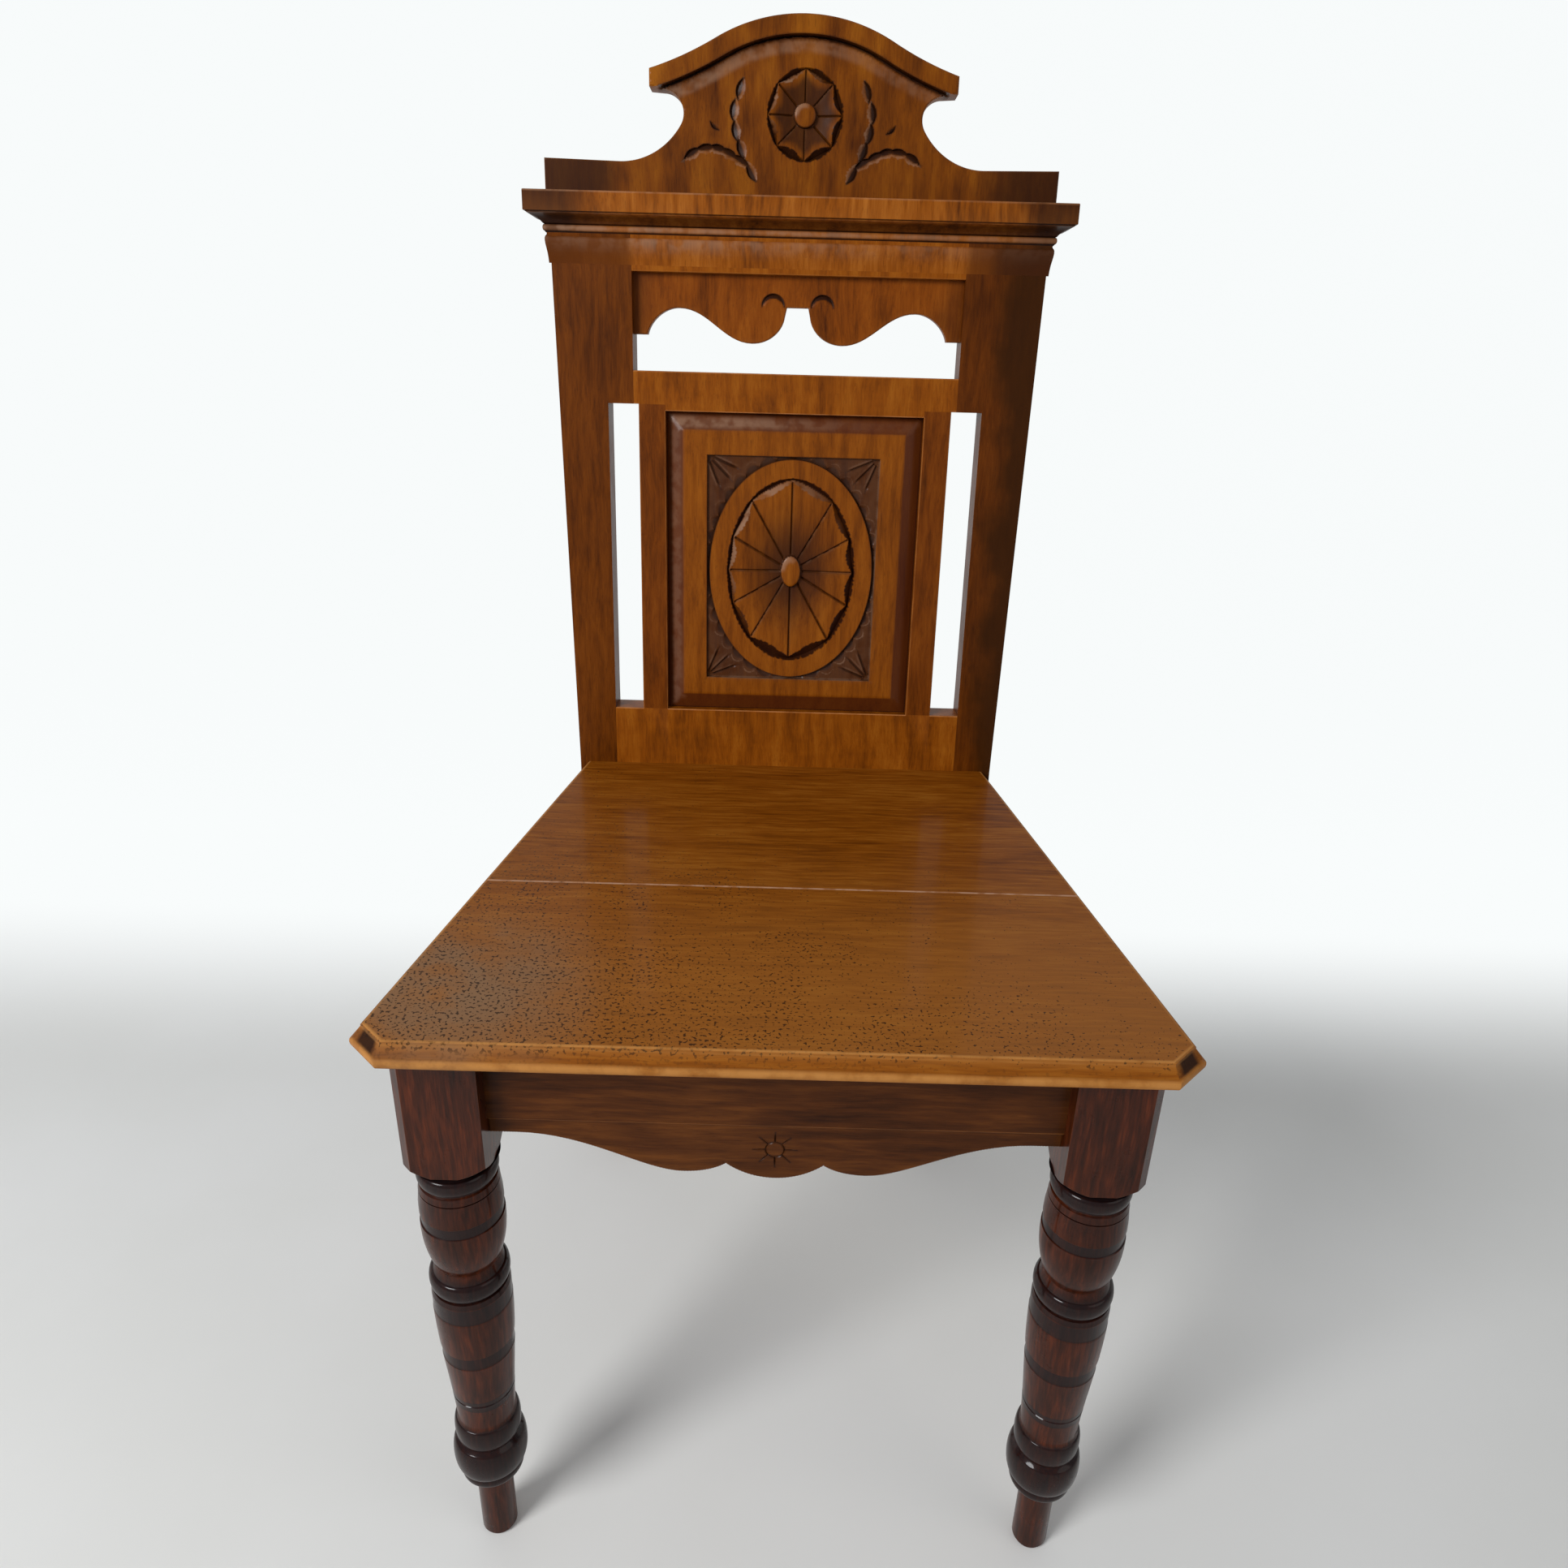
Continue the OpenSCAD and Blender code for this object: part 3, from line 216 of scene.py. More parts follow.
def mixed(tree, factor, a, b):
    return addNode(tree, "ShaderNodeMix", {0: factor, 6: a, 7: b}, data_type="RGBA").outputs[2]


def ranged(tree, value, low, high, toLow=0.0, toHigh=1.0, smooth=True):
    node = addNode(tree, "ShaderNodeMapRange", {0: value, 1: low, 2: high, 3: toLow, 4: toHigh},
                   interpolation_type="SMOOTHSTEP" if smooth else "LINEAR")
    return node.outputs[0]


def paint(red, green, blue):
    return tuple((c / 255 / 12.92) if c <= 10 else ((c / 255 + 0.055) / 1.055) ** 2.4
                 for c in (red, green, blue)) + (1.0,)


# Grain runs along the vector's third axis. Each mark has its waves in a millimetre on the three
# axes, and its detail.
figureMarks = {"drift": ((0.012, 0.012, 0.012), 2.0), "clouds": ((0.028, 0.028, 0.008), 3.0),
               "curl": ((0.035, 0.035, 0.14), 1.5), "fibre": ((0.9, 0.9, 0.05), 3.0),
               "pores": ((1.6, 1.6, 0.12), 1.5)}


def makeWoodFigure():
    group, given, put = newGroup("woodFigure", "ShaderNodeTree", [
        ("Vector", "vector", None), ("Streak Width", "number", 5.0), ("Streak Length", "number", 10.0),
        ("Wander", "number", 6.0), ("Streaks", "number", 0.5), ("Clouds", "number", 0.5),
        ("Curl", "number", 0.0), ("Fibre", "number", 0.5), ("Seed", "number", 0.0), ("Pores", "number", 0.4),
        ("Dark", "color", None), ("Mid", "color", None), ("Light", "color", None),
    ], [("Color", "color"), ("Pores", "number")])
    out = given.outputs

    def vectorMath(operation, a, b):
        place = 3 if operation == "SCALE" else 1
        return addNode(group, "ShaderNodeVectorMath", {0: a, place: b}, operation=operation).outputs[0]

    def mark(vector, waves, detail):
        return noise(group, vectorMath("MULTIPLY", vector, waves), 1.0, detail, 0.55)

    shift = addNode(group, "ShaderNodeCombineXYZ", {0: out["Seed"], 1: out["Seed"]}).outputs[0]
    moved = vectorMath("ADD", inMillimetres(group, out["Vector"]), shift)
    centred = vectorMath("SUBTRACT", mark(moved, *figureMarks["drift"])["Color"], (0.5, 0.5, 0.5))
    wandered = vectorMath("ADD", moved, vectorMath("SCALE", centred, out["Wander"]))
    across = maths(group, "DIVIDE", 1.0, out["Streak Width"])
    along = maths(group, "DIVIDE", across, out["Streak Length"])
    streakWaves = addNode(group, "ShaderNodeCombineXYZ", {0: across, 1: across, 2: along}).outputs[0]
    tone = 0.5
    for texture, amount in ((mark(wandered, streakWaves, 2.5), times(group, out["Streaks"], 2.4)),
                            (mark(moved, *figureMarks["clouds"]), times(group, out["Clouds"], 2.4)),
                            (mark(wandered, *figureMarks["curl"]), times(group, out["Curl"], 2.2)),
                            (mark(wandered, *figureMarks["fibre"]), out["Fibre"])):
        tone = maths(group, "ADD", swing(group, texture["Fac"], amount), tone)
    low = ranged(group, tone, 0.05, 0.5, smooth=False)
    high = ranged(group, tone, 0.5, 0.95, smooth=False)
    plain = mixed(group, high, mixed(group, low, out["Dark"], out["Mid"]), out["Light"])
    dashes = mark(wandered, *figureMarks["pores"])["Fac"]
    pores = times(group, ranged(group, dashes, 0.58, 0.7), out["Pores"])
    deep = mixed(group, 0.6, out["Dark"], (0.004, 0.002, 0.001, 1))
    group.links.new(mixed(group, pores, plain, deep), put.inputs["Color"])
    group.links.new(pores, put.inputs["Pores"])
    return group


# Rubbed arrises, a stain, darkening that is partly painted shade in the hollows, and painted highlights
def makeHandling():
    group, given, put = newGroup("handling", "ShaderNodeTree", [
        ("Color", "color", None), ("Vector", "vector", None), ("Wear", "number", 0.0),
        ("Hollow", "number", 0.0), ("Painted Highlight", "number", 0.0), ("Stained", "number", 0.0),
        ("Rubbed", "color", None), ("Dark And Shade", "color", None), ("Highlight Tint", "color", None), ("Stain", "color", None),
        ("Rub", "number", 0.5), ("Dark And Shade Strength", "number", 0.8), ("Highlight Strength", "number", 0.5),
    ], [("Color", "color"), ("Worn", "number")])
    out = given.outputs
    inMm = inMillimetres(group, out["Vector"])
    patches = noise(group, inMm, 0.05, 4.0, 0.6)["Fac"]
    flecks = noise(group, inMm, 0.1, 2.0)["Fac"]
    uneven = ranged(group, patches, 0.3, 0.62, 0.35, 1.0)
    broken = ranged(group, flecks, 0.34, 0.58, 0.3, 1.0)
    worn = times(group, out["Wear"], uneven, out["Rub"], clamp=True)
    darkAndShaded = times(group, out["Hollow"], out["Dark And Shade Strength"], clamp=True)
    highlighted = times(group, out["Painted Highlight"], broken, out["Highlight Strength"], clamp=True)
    color = out["Color"]
    for share, tint in ((out["Stained"], "Stain"), (darkAndShaded, "Dark And Shade"), (worn, "Rubbed"), (highlighted, "Highlight Tint")):
        color = mixed(group, share, color, out[tint])
    group.links.new(color, put.inputs["Color"])
    group.links.new(worn, put.inputs["Worn"])
    return group


# Uneven old polish: a roughness that drifts, and a height for faint ripples and pores
def makeOldPolish():
    group, given, put = newGroup("oldPolish", "ShaderNodeTree", [
        ("Vector", "vector", None), ("Gloss", "number", 0.4), ("Spread", "number", 0.12),
        ("Pores", "number", 0.0), ("Worn", "number", 0.0),
    ], [("Roughness", "number"), ("Height", "number")])
    out = given.outputs
    inMm = inMillimetres(group, out["Vector"])
    cloudy = noise(group, inMm, 0.035, 4.0, 0.6)["Fac"]
    grit = noise(group, inMm, 0.5, 3.0)["Fac"]
    drift = times(group, swing(group, cloudy, out["Spread"]), 2.0)
    dulled = times(group, out["Worn"], 0.1)
    rough = maths(group, "ADD", maths(group, "ADD", out["Gloss"], drift), dulled, clamp=True)
    height = maths(group, "SUBTRACT", times(group, grit, 0.4), out["Pores"])
    group.links.new(rough, put.inputs["Roughness"])
    group.links.new(height, put.inputs["Height"])
    return group


# Boards darker towards both ends
def makeDarkEnds():
    group, given, put = newGroup("darkEnds", "ShaderNodeTree", [
        ("Color", "color", None), ("Vector", "vector", None), ("Ends", "color", None),
        ("From", "number", 0.11), ("To", "number", 0.15), ("Amount", "number", 0.7),
    ], [("Color", "color")])
    out = given.outputs
    parts = addNode(group, "ShaderNodeSeparateXYZ", {0: out["Vector"]}).outputs
    wander = swing(group, noise(group, out["Vector"], 28.0, 3.0)["Fac"], 0.05)
    reach = maths(group, "ADD", maths(group, "ABSOLUTE", parts["X"]), wander)
    share = times(group, ranged(group, reach, out["From"], out["To"]), out["Amount"])
    group.links.new(mixed(group, share, out["Color"], out["Ends"]), put.inputs["Color"])
    return group


# Seat top: black specks where the polish has gone, thickest at the front left, and a painted grey sheen
# there.
# A pair of places, in millimetres, runs from where a mark is faint to where it is full.
specks = {
    "tint": (40, 26, 18), "strength": 0.85, "edge": (444.0, 449.0), "onEdge": 0.25,
    "forward": (60.0, -235.0), "forwardShare": 0.62, "leftward": (170.0, -200.0), "leftwardShare": 0.5,
    "few": 0.71, "more": 0.14, "crisp": 22.0,
    "greySheenTint": (128, 100, 74), "greySheenMiddle": (-188.0, -178.0, 450.0), "greySheenReach": (105.0, 15.0),
    "greySheen": 0.8, "fadedTint": (158, 100, 44), "fadedFrom": (20.0, -200.0), "faded": 0.55,
}


def makeSeatSpecks():
    group, given, put = newGroup("seatSpecks", "ShaderNodeTree", [
        ("Color", "color", None), ("Vector", "vector", None),
        ("Specks", "color", None), ("Cast", "color", None), ("Faded", "color", None),
    ], [("Color", "color")])
    out = given.outputs
    inMm = inMillimetres(group, out["Vector"])
    parts = addNode(group, "ShaderNodeSeparateXYZ", {0: inMm}).outputs
    patches = noise(group, inMm, 0.03, 3.0)["Fac"]
    dots = noise(group, inMm, 0.5, 1.0)["Fac"]
    onTop = ranged(group, parts["Z"], *specks["edge"], specks["onEdge"])
    forward = ranged(group, parts["Y"], *specks["forward"], smooth=False)
    leftward = ranged(group, parts["X"], *specks["leftward"], smooth=False)
    worn = maths(group, "ADD", times(group, forward, specks["forwardShare"]),
                 times(group, leftward, specks["leftwardShare"]))
    worn = maths(group, "ADD", worn, maths(group, "SUBTRACT", patches, 0.5))
    thicker = times(group, ranged(group, worn, 0.2, 1.05), specks["more"])
    level = maths(group, "SUBTRACT", specks["few"], thicker)
    over = times(group, maths(group, "SUBTRACT", dots, level), specks["crisp"], clamp=True)
    speck = times(group, over, ranged(group, worn, 0.1, 0.5), clamp=True)
    speck = times(group, speck, onTop, specks["strength"])
    # Painted grey sheen round a spot at the front left
    away = addNode(group, "ShaderNodeVectorMath", {0: inMm, 1: specks["greySheenMiddle"]}, operation="DISTANCE")
    grey = times(group, ranged(group, away.outputs["Value"], *specks["greySheenReach"], 0.0, specks["greySheen"]),
                 ranged(group, patches, 0.3, 0.6, 0.3, 1.0))
    fading = times(group, ranged(group, parts["Y"], *specks["fadedFrom"], 0.0, specks["faded"]), onTop)
    color = out["Color"]
    for share, tint in ((fading, "Faded"), (grey, "Cast"), (speck, "Specks")):
        color = mixed(group, share, color, out[tint])
    group.links.new(color, put.inputs["Color"])
    return group


woodFigure = makeWoodFigure()
handling = makeHandling()
oldPolish = makeOldPolish()
darkEnds = makeDarkEnds()
seatSpecks = makeSeatSpecks()


def placeGroup(tree, group, inputs):
    return addNode(tree, "ShaderNodeGroup", inputs, node_tree=group)


def newMaterial(name):
    material = bpy.data.materials.new(name)
    material.use_nodes = True
    tree = material.node_tree
    coords = addNode(tree, "ShaderNodeTexCoord").outputs["Object"]
    return material, tree, tree.nodes["Principled BSDF"], coords


# How a wood looks where its own entry doesn't say otherwise. "ends" has a colour, the distances
# from the middle where it starts and is full, and how strong it is.
grainUp = (0, 0, 0)
grainAcross = (0, pi / 2, 0)
grainBack = (pi / 2, 0, 0)
# "highlight" is the tint of painted highlights; "darkAndShade" is the tint of dark marks and of painted shade
plainWood = {
    "grain": grainUp, "streak": 5.0, "length": 10.0, "wander": 8.0, "streaks": 0.5, "clouds": 0.4,
    "curl": 0.0, "fibre": 0.5, "pores": 0.25, "stain": (60, 25, 12), "rubbed": (160, 98, 44),
    "darkAndShade": (26, 12, 8), "highlight": (148, 114, 90), "rub": 0.45, "darkAndShadeStrength": 0.9, "highlightStrength": 0.75, "gloss": 0.42,
    "spread": 0.12, "specular": 0.06, "coat": 0.08, "coatRough": 0.2, "ends": None, "specks": False,
}
woods = {
    "crestWalnut": {"dark": (66, 28, 3), "mid": (114, 58, 5), "light": (144, 82, 12), "seed": 11.0,
                    "streak": 13.0, "length": 4.0, "streaks": 0.55, "clouds": 0.5,
                    "ends": ((44, 20, 6), 0.115, 0.15, 0.82)},
    "corniceWalnut": {"dark": (76, 34, 4), "mid": (136, 71, 10), "light": (164, 96, 30), "seed": 23.0,
                      "length": 8.0, "clouds": 0.5, "stain": (90, 43, 4),
                      "ends": ((50, 24, 8), 0.135, 0.175, 0.85)},
    "railWalnut": {"dark": (78, 34, 3), "mid": (132, 68, 7), "light": (160, 94, 22), "seed": 37.0,
                   "streak": 9.0, "length": 6.0, "streaks": 0.4, "clouds": 0.3, "curl": 0.08, "rub": 0.75,
                   "rubbed": (178, 116, 66)},
    "headRailWalnut": {"dark": (78, 34, 3), "mid": (134, 69, 7), "light": (162, 95, 22), "seed": 39.0,
                       "streak": 9.0, "length": 6.0, "streaks": 0.4, "clouds": 0.3, "curl": 0.08,
                       "ends": ((88, 42, 7), 0.12, 0.16, 0.85)},
    "muntinWalnut": {"dark": (64, 28, 3), "mid": (108, 52, 6), "light": (132, 70, 14), "seed": 43.0,
                     "streaks": 0.4, "clouds": 0.35, "rub": 0.65},
    "panelWalnut": {"dark": (74, 32, 3), "mid": (126, 65, 7), "light": (150, 84, 16), "seed": 51.0,
                    "streak": 6.0, "streaks": 0.4, "clouds": 0.3, "coat": 0.12, "darkAndShade": (30, 12, 10),
                    "stain": (70, 28, 14)},
    "friezeWalnut": {"dark": (70, 30, 3), "mid": (124, 61, 7), "light": (150, 82, 18), "seed": 77.0,
                     "streak": 6.0, "streaks": 0.35, "ends": ((60, 26, 5), 0.095, 0.125, 0.6)},
    # The posts are one walnut in two copies: the right one darker, and darker still towards its outer edge,
    # as painted shade for a light from the left
    "leftPostWalnutAsLit": {"dark": (56, 23, 1), "mid": (96, 46, 3), "light": (120, 62, 8), "seed": 91.0,
                       "streak": 4.0, "streaks": 0.35, "clouds": 0.35},
    "rightPostWalnutAsLit": {"dark": (54, 22, 2), "mid": (88, 41, 3), "light": (110, 55, 8), "seed": 92.0,
                        "streak": 4.0, "streaks": 0.35, "clouds": 0.35,
                        "ends": ((48, 23, 2), 0.142, 0.17, 0.85)},
    "seatWalnut": {"dark": (84, 38, 3), "mid": (128, 68, 10), "light": (152, 92, 26), "seed": 17.0,
                   "grain": grainAcross, "streak": 3.0, "length": 14.0, "clouds": 0.3,
                   "specular": 0.03, "coat": 0.07, "spread": 0.05, "coatRough": 0.12, "rub": 0.8,
                   "rubbed": (188, 130, 68), "highlight": (196, 158, 130), "specks": True},
    "legMahogany": {"dark": (28, 9, 2), "mid": (60, 23, 6), "light": (96, 40, 12), "seed": 31.0,
                    "streak": 2.5, "clouds": 0.3, "gloss": 0.3, "specular": 0.04, "coat": 0.34,
                    "coatRough": 0.08, "darkAndShade": (20, 16, 18), "rub": 0.25, "rubbed": (120, 80, 52)},
    "railMahogany": {"dark": (40, 17, 4), "mid": (72, 36, 10), "light": (100, 55, 18), "seed": 63.0,
                     "grain": grainAcross, "clouds": 0.5, "rub": 0.3},
    "sideRailMahogany": {"dark": (40, 17, 4), "mid": (72, 36, 10), "light": (100, 55, 18), "seed": 67.0,
                         "grain": grainBack, "rub": 0.3},
    "blockPine": {"dark": (150, 112, 66), "mid": (184, 146, 94), "light": (204, 170, 118), "seed": 7.0,
                  "grain": grainBack, "gloss": 0.6, "coat": 0.0, "pores": 0.1},
    "dowelBeech": {"dark": (168, 128, 80), "mid": (196, 156, 104), "light": (214, 178, 128), "seed": 3.0,
                   "streak": 2.0, "gloss": 0.6, "coat": 0.0, "pores": 0.2},
}


def makeWood(name, own):
    look = {**plainWood, **own}
    material, tree, shader, coords = newMaterial(name)
    tints = {key: paint(*look[key]) for key in ("dark", "mid", "light", "stain", "rubbed", "darkAndShade", "highlight")}
    turned = addNode(tree, "ShaderNodeMapping", {"Vector": coords, "Rotation": look["grain"]})
    figure = placeGroup(tree, woodFigure, {
        "Vector": turned.outputs[0], "Streak Width": look["streak"], "Streak Length": look["length"],
        "Wander": look["wander"], "Streaks": look["streaks"], "Clouds": look["clouds"], "Curl": look["curl"],
        "Fibre": look["fibre"], "Seed": look["seed"], "Pores": look["pores"],
        "Dark": tints["dark"], "Mid": tints["mid"], "Light": tints["light"]})
    color = figure.outputs["Color"]
    if look["ends"]:
        tint, start, full, amount = look["ends"]
        color = placeGroup(tree, darkEnds, {"Color": color, "Vector": coords, "From": start, "To": full,
                                            "Ends": paint(*tint), "Amount": amount}).outputs[0]
    if look["specks"]:
        color = placeGroup(tree, seatSpecks, {
            "Color": color, "Vector": coords, "Specks": paint(*specks["tint"]),
            "Cast": paint(*specks["greySheenTint"]), "Faded": paint(*specks["fadedTint"])}).outputs[0]
    # Marks on the mesh's points: rubbed wear, darkening that is partly painted shade, painted highlight, and
    # stain
    marks = {key: addNode(tree, "ShaderNodeAttribute", attribute_name=key).outputs["Fac"]
             for key in ("wear", "hollow", "bloom", "stain")}
    handled = placeGroup(tree, handling, {
        "Color": color, "Vector": coords, "Wear": marks["wear"], "Hollow": marks["hollow"],
        "Painted Highlight": marks["bloom"], "Stained": marks["stain"], "Stain": tints["stain"],
        "Rubbed": tints["rubbed"], "Dark And Shade": tints["darkAndShade"], "Highlight Tint": tints["highlight"],
        "Rub": look["rub"], "Dark And Shade Strength": look["darkAndShadeStrength"], "Highlight Strength": look["highlightStrength"]})
    polish = placeGroup(tree, oldPolish, {
        "Vector": coords, "Gloss": look["gloss"], "Spread": look["spread"],
        "Pores": figure.outputs["Pores"], "Worn": handled.outputs["Worn"]})
    bump = addNode(tree, "ShaderNodeBump", {"Strength": 0.3, "Distance": 0.12 * mm,
                                            "Height": polish.outputs["Height"]})
    tree.links.new(handled.outputs["Color"], shader.inputs["Base Color"])
    tree.links.new(polish.outputs["Roughness"], shader.inputs["Roughness"])
    tree.links.new(bump.outputs["Normal"], shader.inputs["Normal"])
    shader.inputs["Specular IOR Level"].default_value = look["specular"]
    shader.inputs["Coat Weight"].default_value = look["coat"]
    shader.inputs["Coat Roughness"].default_value = look["coatRough"]
    return material


def makeSteel():
    material, tree, shader, coords = newMaterial("screwSteel")
    stains = noise(tree, coords, 900.0, 4.0)["Fac"]
    tinted = mixed(tree, ranged(tree, stains, 0.4, 0.65), paint(128, 124, 116), paint(88, 66, 50))
    tree.links.new(tinted, shader.inputs["Base Color"])
    tree.links.new(ranged(tree, stains, 0.35, 0.7, 0.32, 0.62), shader.inputs["Roughness"])
    shader.inputs["Metallic"].default_value = 1.0
    return material


finishes = {name: makeWood(name, look) for name, look in woods.items()}
finishes["screwSteel"] = makeSteel()
print("finishes made:", len(finishes))


# Meshes

def dressed(name, mesh, finish, replaced=()):
    piece = bpy.data.objects.new(name, mesh)
    bpy.context.scene.collection.objects.link(piece)
    mesh.materials.clear()
    mesh.materials.append(finishes[finish])
    mesh.polygons.foreach_set("material_index", [0] * len(mesh.polygons))
    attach(piece, "root")
    if replaced:
        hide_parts(*replaced)
    return piece


def shaded(bm, angle):
    for face in bm.faces:
        face.smooth = True
    for edge in bm.edges:
        edge.smooth = len(edge.link_faces) == 2 and edge.calc_face_angle(0) < radians(angle)


def steadied(piece):
    steady = piece.modifiers.new("steadyShading", "WEIGHTED_NORMAL")
    steady.keep_sharp = True
    return piece


def toMesh(bm, name):
    mesh = bpy.data.meshes.new(name)
    bm.to_mesh(mesh)
    bm.free()
    return mesh


# A closed skin over rings of points, listed from the top down
def skinned(bm, rings):
    count = len(rings[0])
    for upper, lower in zip(rings, rings[1:]):
        for i in range(count):
            j = (i + 1) % count
            bm.faces.new((upper[i], lower[i], lower[j], upper[j]))
    bm.faces.new(rings[0])
    bm.faces.new(reversed(rings[-1]))


def treeOf(points):
    tree = KDTree(len(points))
    for i, p in enumerate(points):
        tree.insert((p[0], p[1], 0), i)
    tree.balance()
    return tree


# A board with a carved face. The face is a fine net of triangles whose edges follow every
# line of the carving, and whose depth comes from the job's own rule. Points stand close to both
# sides of a ridge, and the finest triangles are where the job's "fineWhere" says.
plainJob = {"edgeStep": 1.6, "insets": (), "arris": False, "fine": 1.0, "coarse": 4.0, "valleyDarkReach": 1.2}
net = {"markStep": 0.8, "beside": 0.7, "apart": 0.13, "rowShare": 0.87, "crease": 32}


def carvingPoints(job, outline):
    points = list(outline)
    edges = [(i, (i + 1) % len(outline)) for i in range(len(outline))]
    rubbed = stepped(outline, net["markStep"]) if job["arris"] else []
    valleys, fences = [], []
    for line, closed, sort in job["lines"]:
        first, count = len(points), len(line)
        points += line
        edges += [(first + i, first + (i + 1) % count) for i in range(count if closed else count - 1)]
        if sort == "valley":
            valleys += stepped(line, net["markStep"], closed)
        if sort == "ridge":
            for (px, py), (qx, qy) in zip(line, line[1:]):
                run = hypot(qx - px, qy - py)
                if run > 0.2:
                    side = ((py - qy) / run, (qx - px) / run)
                    middle = ((px + qx) / 2, (py + qy) / 2)
                    fences += [(middle[0] + side[0] * s, middle[1] + side[1] * s)
                               for s in (-net["beside"], net["beside"])]
    for inset in job["insets"]:
        for (px, py), (qx, qy) in closedPairs(outline):
            run = hypot(qx - px, qy - py)
            fences.append(((px + qx) / 2 - (qy - py) / run * inset, (py + qy) / 2 + (qx - px) / run * inset))
    return points, edges, rubbed, valleys, fences


def filledIn(points, outline, fences, job):
    low, high = np.array(outline).min(0), np.array(outline).max(0)

    def grid(step):
        rows = np.arange(low[1] + step / 2, high[1], step * net["rowShare"])
        return np.array([(x + (step / 2 if i % 2 else 0), y) for i, y in enumerate(rows)
                         for x in np.arange(low[0] + step / 2, high[0], step)])

    def added(fresh, gap):
        tree = treeOf(points)
        fresh = [tuple(p) for p, ok in zip(fresh, insideLine(fresh, outline)) if ok]
        return [p for p in fresh if tree.find((p[0], p[1], 0))[2] > gap]

    if fences:
        points += added(fences, net["apart"])
    for step, fine in ((job["fine"], True), (job["coarse"], False)):
        spots = grid(step)
        points += added(spots[job["fineWhere"](spots) == fine], step * 0.5)
    return points


def carvedBoard(name, job, place, finish, replaced):
    job = {**plainJob, **job}
    outline = stepped(job["outline"], job["edgeStep"])
    points, edges, rubbed, valleys, fences = carvingPoints(job, outline)
    points = filledIn(points, outline, fences, job)
    flat, _, faces, *_ = delaunay_2d_cdt([Vector(p) for p in points], edges, [], 1, 1e-5)
    flat = np.array([tuple(p) for p in flat])
    depth = job["depthAt"](flat)
    front = []
    for face in faces:
        a, b, c = flat[list(face[:3])]
        left = (b[0] - a[0]) * (c[1] - a[1]) - (b[1] - a[1]) * (c[0] - a[0]) > 0
        front.append(tuple(face) if left else tuple(face)[::-1])
    used = {pair: True for face in front for pair in closedPairs(face)}
    rim = {a: b for a, b in used if (b, a) not in used}
    start = next(iter(rim))
    loop = [start]
    while rim[loop[-1]] != start:
        loop.append(rim[loop[-1]])
    if len(loop) != len(rim):
        print(name, "has a broken rim:", len(loop), len(rim))
    count = len(flat)
    rearEdge = [(flat[i][0], job["rear"], flat[i][1]) for i in loop]
    verts = [(x, d, y) for (x, y), d in zip(flat, depth)] + rearEdge
    ring = {v: count + i for i, v in enumerate(loop)}
    walls = [(rim[v], v, ring[v], ring[rim[v]]) for v in loop]
    mesh = bpy.data.meshes.new(name)
    mesh.from_pydata(verts, [], front + walls + [tuple(ring[v] for v in reversed(loop))])
    painted = job["paintAt"](flat) if "paintAt" in job else {}
    # Darkening along the valley lines: partly dark joints, partly painted shade at the feet of walls and in
    # the cuts
    for label, marks, reach in (("wear", rubbed, 1.0), ("hollow", valleys, job["valleyDarkReach"]),
                                ("bloom", [], 1), ("stain", [], 1)):
        values = np.zeros(len(verts))
        if marks:
            tree = treeOf(marks)
            near = np.array([tree.find((p[0], p[1], 0))[2] for p in flat])
            values[:count] = unit(1 - near / reach)
        if label in painted:
            values[:count] = np.maximum(values[:count], painted[label])
        mesh.attributes.new(label, "FLOAT", "POINT").data.foreach_set("value", values)
    bm = bmesh.new()
    bm.from_mesh(mesh)
    bmesh.ops.transform(bm, matrix=place, verts=bm.verts)
    shaded(bm, net["crease"])
    bm.to_mesh(mesh)
    bm.free()
    print(name, len(mesh.polygons), "faces")
    return dressed(name, mesh, finish, replaced)


# The flower cut in the panel and in the crest: petals dished towards a button, narrow V cuts
# between them, and scooped crescents between the petals' ends and the ring round them. The marks
# say how much painted shade a slope gets that leans away from the light, and how much painted
# highlight one that leans to it.
lightFrom = radians(135)
petalMarks = {
    "endShare": 0.2, "endDark": 0.8, "endPale": 1.3, "cutStart": 2.0, "cutSpread": 1.3, "cutDark": 0.75,
    "cutTurn": 0.5, "cutPale": 0.3, "crownStart": 6.0, "buttonFrom": radians(125), "buttonPale": 0.8,
}


def ovalReach(angle, a, b):
    return a * b / np.sqrt((b * np.cos(angle)) ** 2 + (a * np.sin(angle)) ** 2)


def petalEdge(angle, f):
    lobe = np.abs(np.sin(f["petals"] * angle / 2))
    return ovalReach(angle, f["a"], f["b"]) * f["cusp"] * (1 - f["crescent"] * lobe)


def buttonEdge(angle, f):
    return ovalReach(angle, f["buttonA"], f["buttonB"])


def flowerParts(points, f):
    x, z, angle, r = around(points, f["middle"])
    rim = ovalReach(angle, f["a"], f["b"])
    edge = petalEdge(angle, f)
    across = (r - edge) / np.maximum(rim - edge, 0.05)
    nearest = np.round(angle * f["petals"] / (2 * pi)) * 2 * pi / f["petals"]
    return angle, r, rim, edge, buttonEdge(angle, f), across, r * np.sin(angle - nearest)


